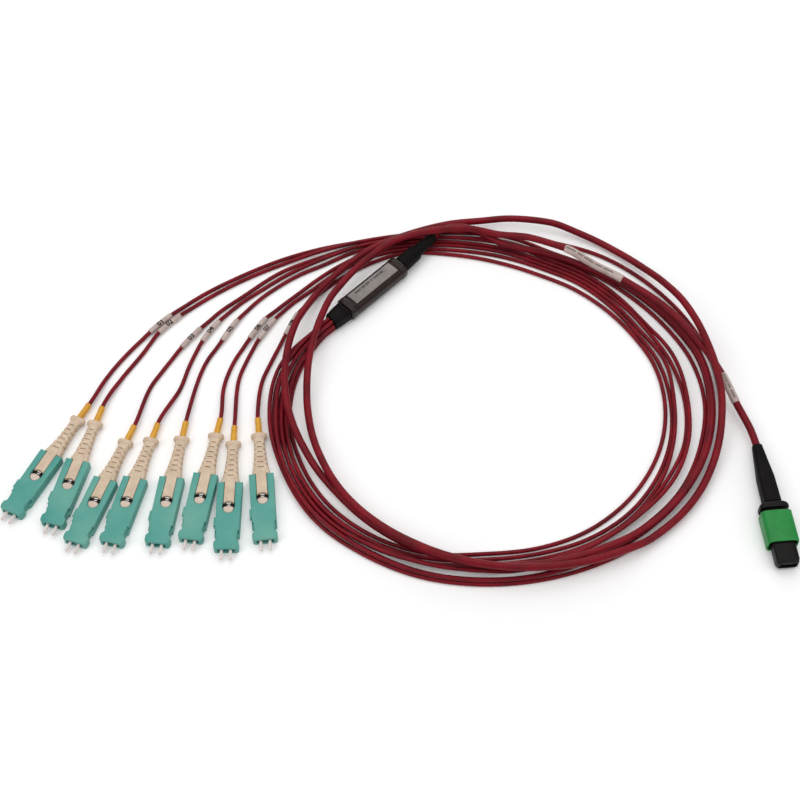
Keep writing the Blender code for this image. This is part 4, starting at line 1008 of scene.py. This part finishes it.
fanPlace = placed(0, 0, fan["heading"])
makeShell(fanPlace)
makeFanLabel(fanPlace)
makeLabelPrint(fanPlace)
makeFanBoots(fanPlace)
print("fan-out made")


# Multi-fibre plug, in its own frame: +X forward from the tip of its boot

mainPlug = {"rear": 31.1, "front": 44.7, "tip": 53.3, "outerHalf": 6.08, "outerHigh": 3.9, "innerHalf": 5.4,
            "innerHigh": 3.35, "bodyHalf": 4.5, "bodyHigh": 2.75, "mouthDepth": 7.0, "mouthHalf": 3.3,
            "mouthHigh": 1.55}
mainFerrule = {"rear": 6.7, "setBack": 0.6, "half": 3.1, "high": 1.25, "edge": 0.18, "holeRadius": 0.35,
        "holePitch": 4.6, "holeDepth": 2.0}
trunkPrint = {"trunkLabelTop": (4.2, 2.6, 5.1, 3.4, 4.4), "trunkLabelNearPlug": (3.4, 2.2, 3.6)}


def plugLoft(sections, sides, ring=False):
    # a loft of (x, half width, half height, squareness) sections about the plug's mid height
    mid = mpo["height"] / 2
    return loft([(x, half, mid - high, mid + high, square) for x, half, high, square in sections],
                sides, ring)


def makeMainBoot():
    return plugLoft([(0, 1.75, 1.75, 3), (0.2, 1.98, 1.98, 3), (7, 2.55, 2.5, 3.6), (14.4, 3.26, 3.1, 4.2),
            (15.2, 3.32, 3.15, 4.2), (25.6, 3.46, 3.3, 4.5), (26.3, 3.46, 3.3, 4.5),
            (26.5, 3.3, 3.15, 4.5)], 40)


def makeCollar():
    return plugLoft([(26.8, 3.7, 3.1, 4.5), (27.0, 4.3, 3.3, 4.5), (27.4, 5.1, 3.5, 4.5),
            (27.9, 5.6, 3.6, 4.5), (28.4, 5.7, 3.6, 5), (29.2, 5.7, 3.6, 5), (29.5, 5.6, 3.5, 5),
            (29.6, 5.3, 3.3, 5)], 48)


def makeCouplingSleeve():  # a ring round the frame, with a groove behind its grip
    rear, front = mainPlug["rear"], mainPlug["front"]
    half, high = mainPlug["outerHalf"], mainPlug["outerHigh"]
    outside = [(rear, 0.33), (rear + 0.12, 0.1), (rear + 0.4, 0), (rear + 0.75, 0), (rear + 0.9, 0.08),
               (rear + 1.15, 0.08), (rear + 1.3, 0), (front - 0.45, 0), (front - 0.12, 0.07), (front, 0.22)]
    inside = [(front, -0.12), (front - 0.25, 0), (rear + 0.3, 0), (rear, -0.12)]
    return plugLoft([(x, half - inset, high - inset, 5) for x, inset in outside]
            + [(x, mainPlug["innerHalf"] - inset, mainPlug["innerHigh"] - inset, 5.2)
            for x, inset in inside], 64, ring=True)


def makePlugFrame():
    tip, half, high = mainPlug["tip"], mainPlug["bodyHalf"], mainPlug["bodyHigh"]
    mid = mpo["height"] / 2
    ends = [(29.9, 0.1, 6), (30.1, 0, 6), (tip - 1.9, 0, 6), (tip - 1.5, 0.05, 6), (tip - 0.3, 0.4, 5),
            (tip, 0.6, 5)]
    body = plugLoft([(x, half - inset, high - inset, square) for x, inset, square in ends], 56)
    wide, tall = mainPlug["mouthHalf"], mainPlug["mouthHigh"]
    mouth = block((tip - mainPlug["mouthDepth"], -wide, mid - tall), (tip + 1, wide, mid + tall), 0.3)
    return cutAway(body, mouth)


def makeMainFerrule():
    tip, mid = mainPlug["tip"], mpo["height"] / 2
    half, high = mainFerrule["half"], mainFerrule["high"]
    body = block((tip - mainFerrule["rear"], -half, mid - high),
            (tip - mainFerrule["setBack"], half, mid + high), mainFerrule["edge"])
    holes = []
    for side in (-1, 1):
        rear, radius = tip - mainFerrule["holeDepth"], mainFerrule["holeRadius"]
        hole = turned([(rear, 0), (rear, radius), (tip, radius), (tip, 0)], steps=20, height=mid)
        bmesh.ops.translate(hole, verts=hole.verts, vec=(0, side * mainFerrule["holePitch"] / 2, 0))
        holes.append(hole)
    return cutAway(body, joined(*holes))


def makeMainPlug():
    at = placed(*mpo["bootTip"], mpo["heading"] - 90)
    # each shape with its material, record slot, body and the CAD node it replaces
    shapes = {
        "mpoBoot": (makeMainBoot(), "blackElastomer", "black_rubber", "cable", "mpo_boot"),
        "mpoCollar": (makeCollar(), "blackPbt", "black_plastic", "cable", "mpo_collar"),
        "mpoSleeve": (makeCouplingSleeve(), "greenPbt", "green_plastic", "coupling_sleeve", "mpo_sleeve"),
        "mpoPlugFrame": (makePlugFrame(), "blackPbt", "black_plastic", "cable", "mpo_plug_frame"),
        "mpoFerrule": (makeMainFerrule(), "blackPbt", "dark_ferrule", "cable", "mpo_ferrule"),
    }
    pieces = [addPiece(name, shape, at, mats[mat], body, [node])
              for name, (shape, mat, slot, body, node) in shapes.items()]
    stretch = along(trunk)[-1] / along(trunk[:, :2])[-1]
    for name, mark, length, node in (("trunkLabelTop", topLabel, cords["topLabelLength"], "trunk_label_top"),
            ("trunkLabelNearPlug", nearLabel, cords["nearLabelLength"],
            "trunk_label_near_mpo")):
        low = np.interp(mark, np.arange(len(trunkMarks)), trunkMarks) * stretch - length / 2
        pieces.append(film(name, trunk, low, low + length, cords["labelDiameter"], [node]))
        pieces.append(printOnCord(name + "Print", trunk, low + smallPrint["space"], trunkPrint[name],
                cords["labelDiameter"] / 2))
    cable = roundCord("trunk", trunk, cords["trunkDiameter"], mats["lowSmokeJacket"],
            ["trunk_cable"], 4)


makeMainPlug()
print("multi-fibre plug and trunk made")
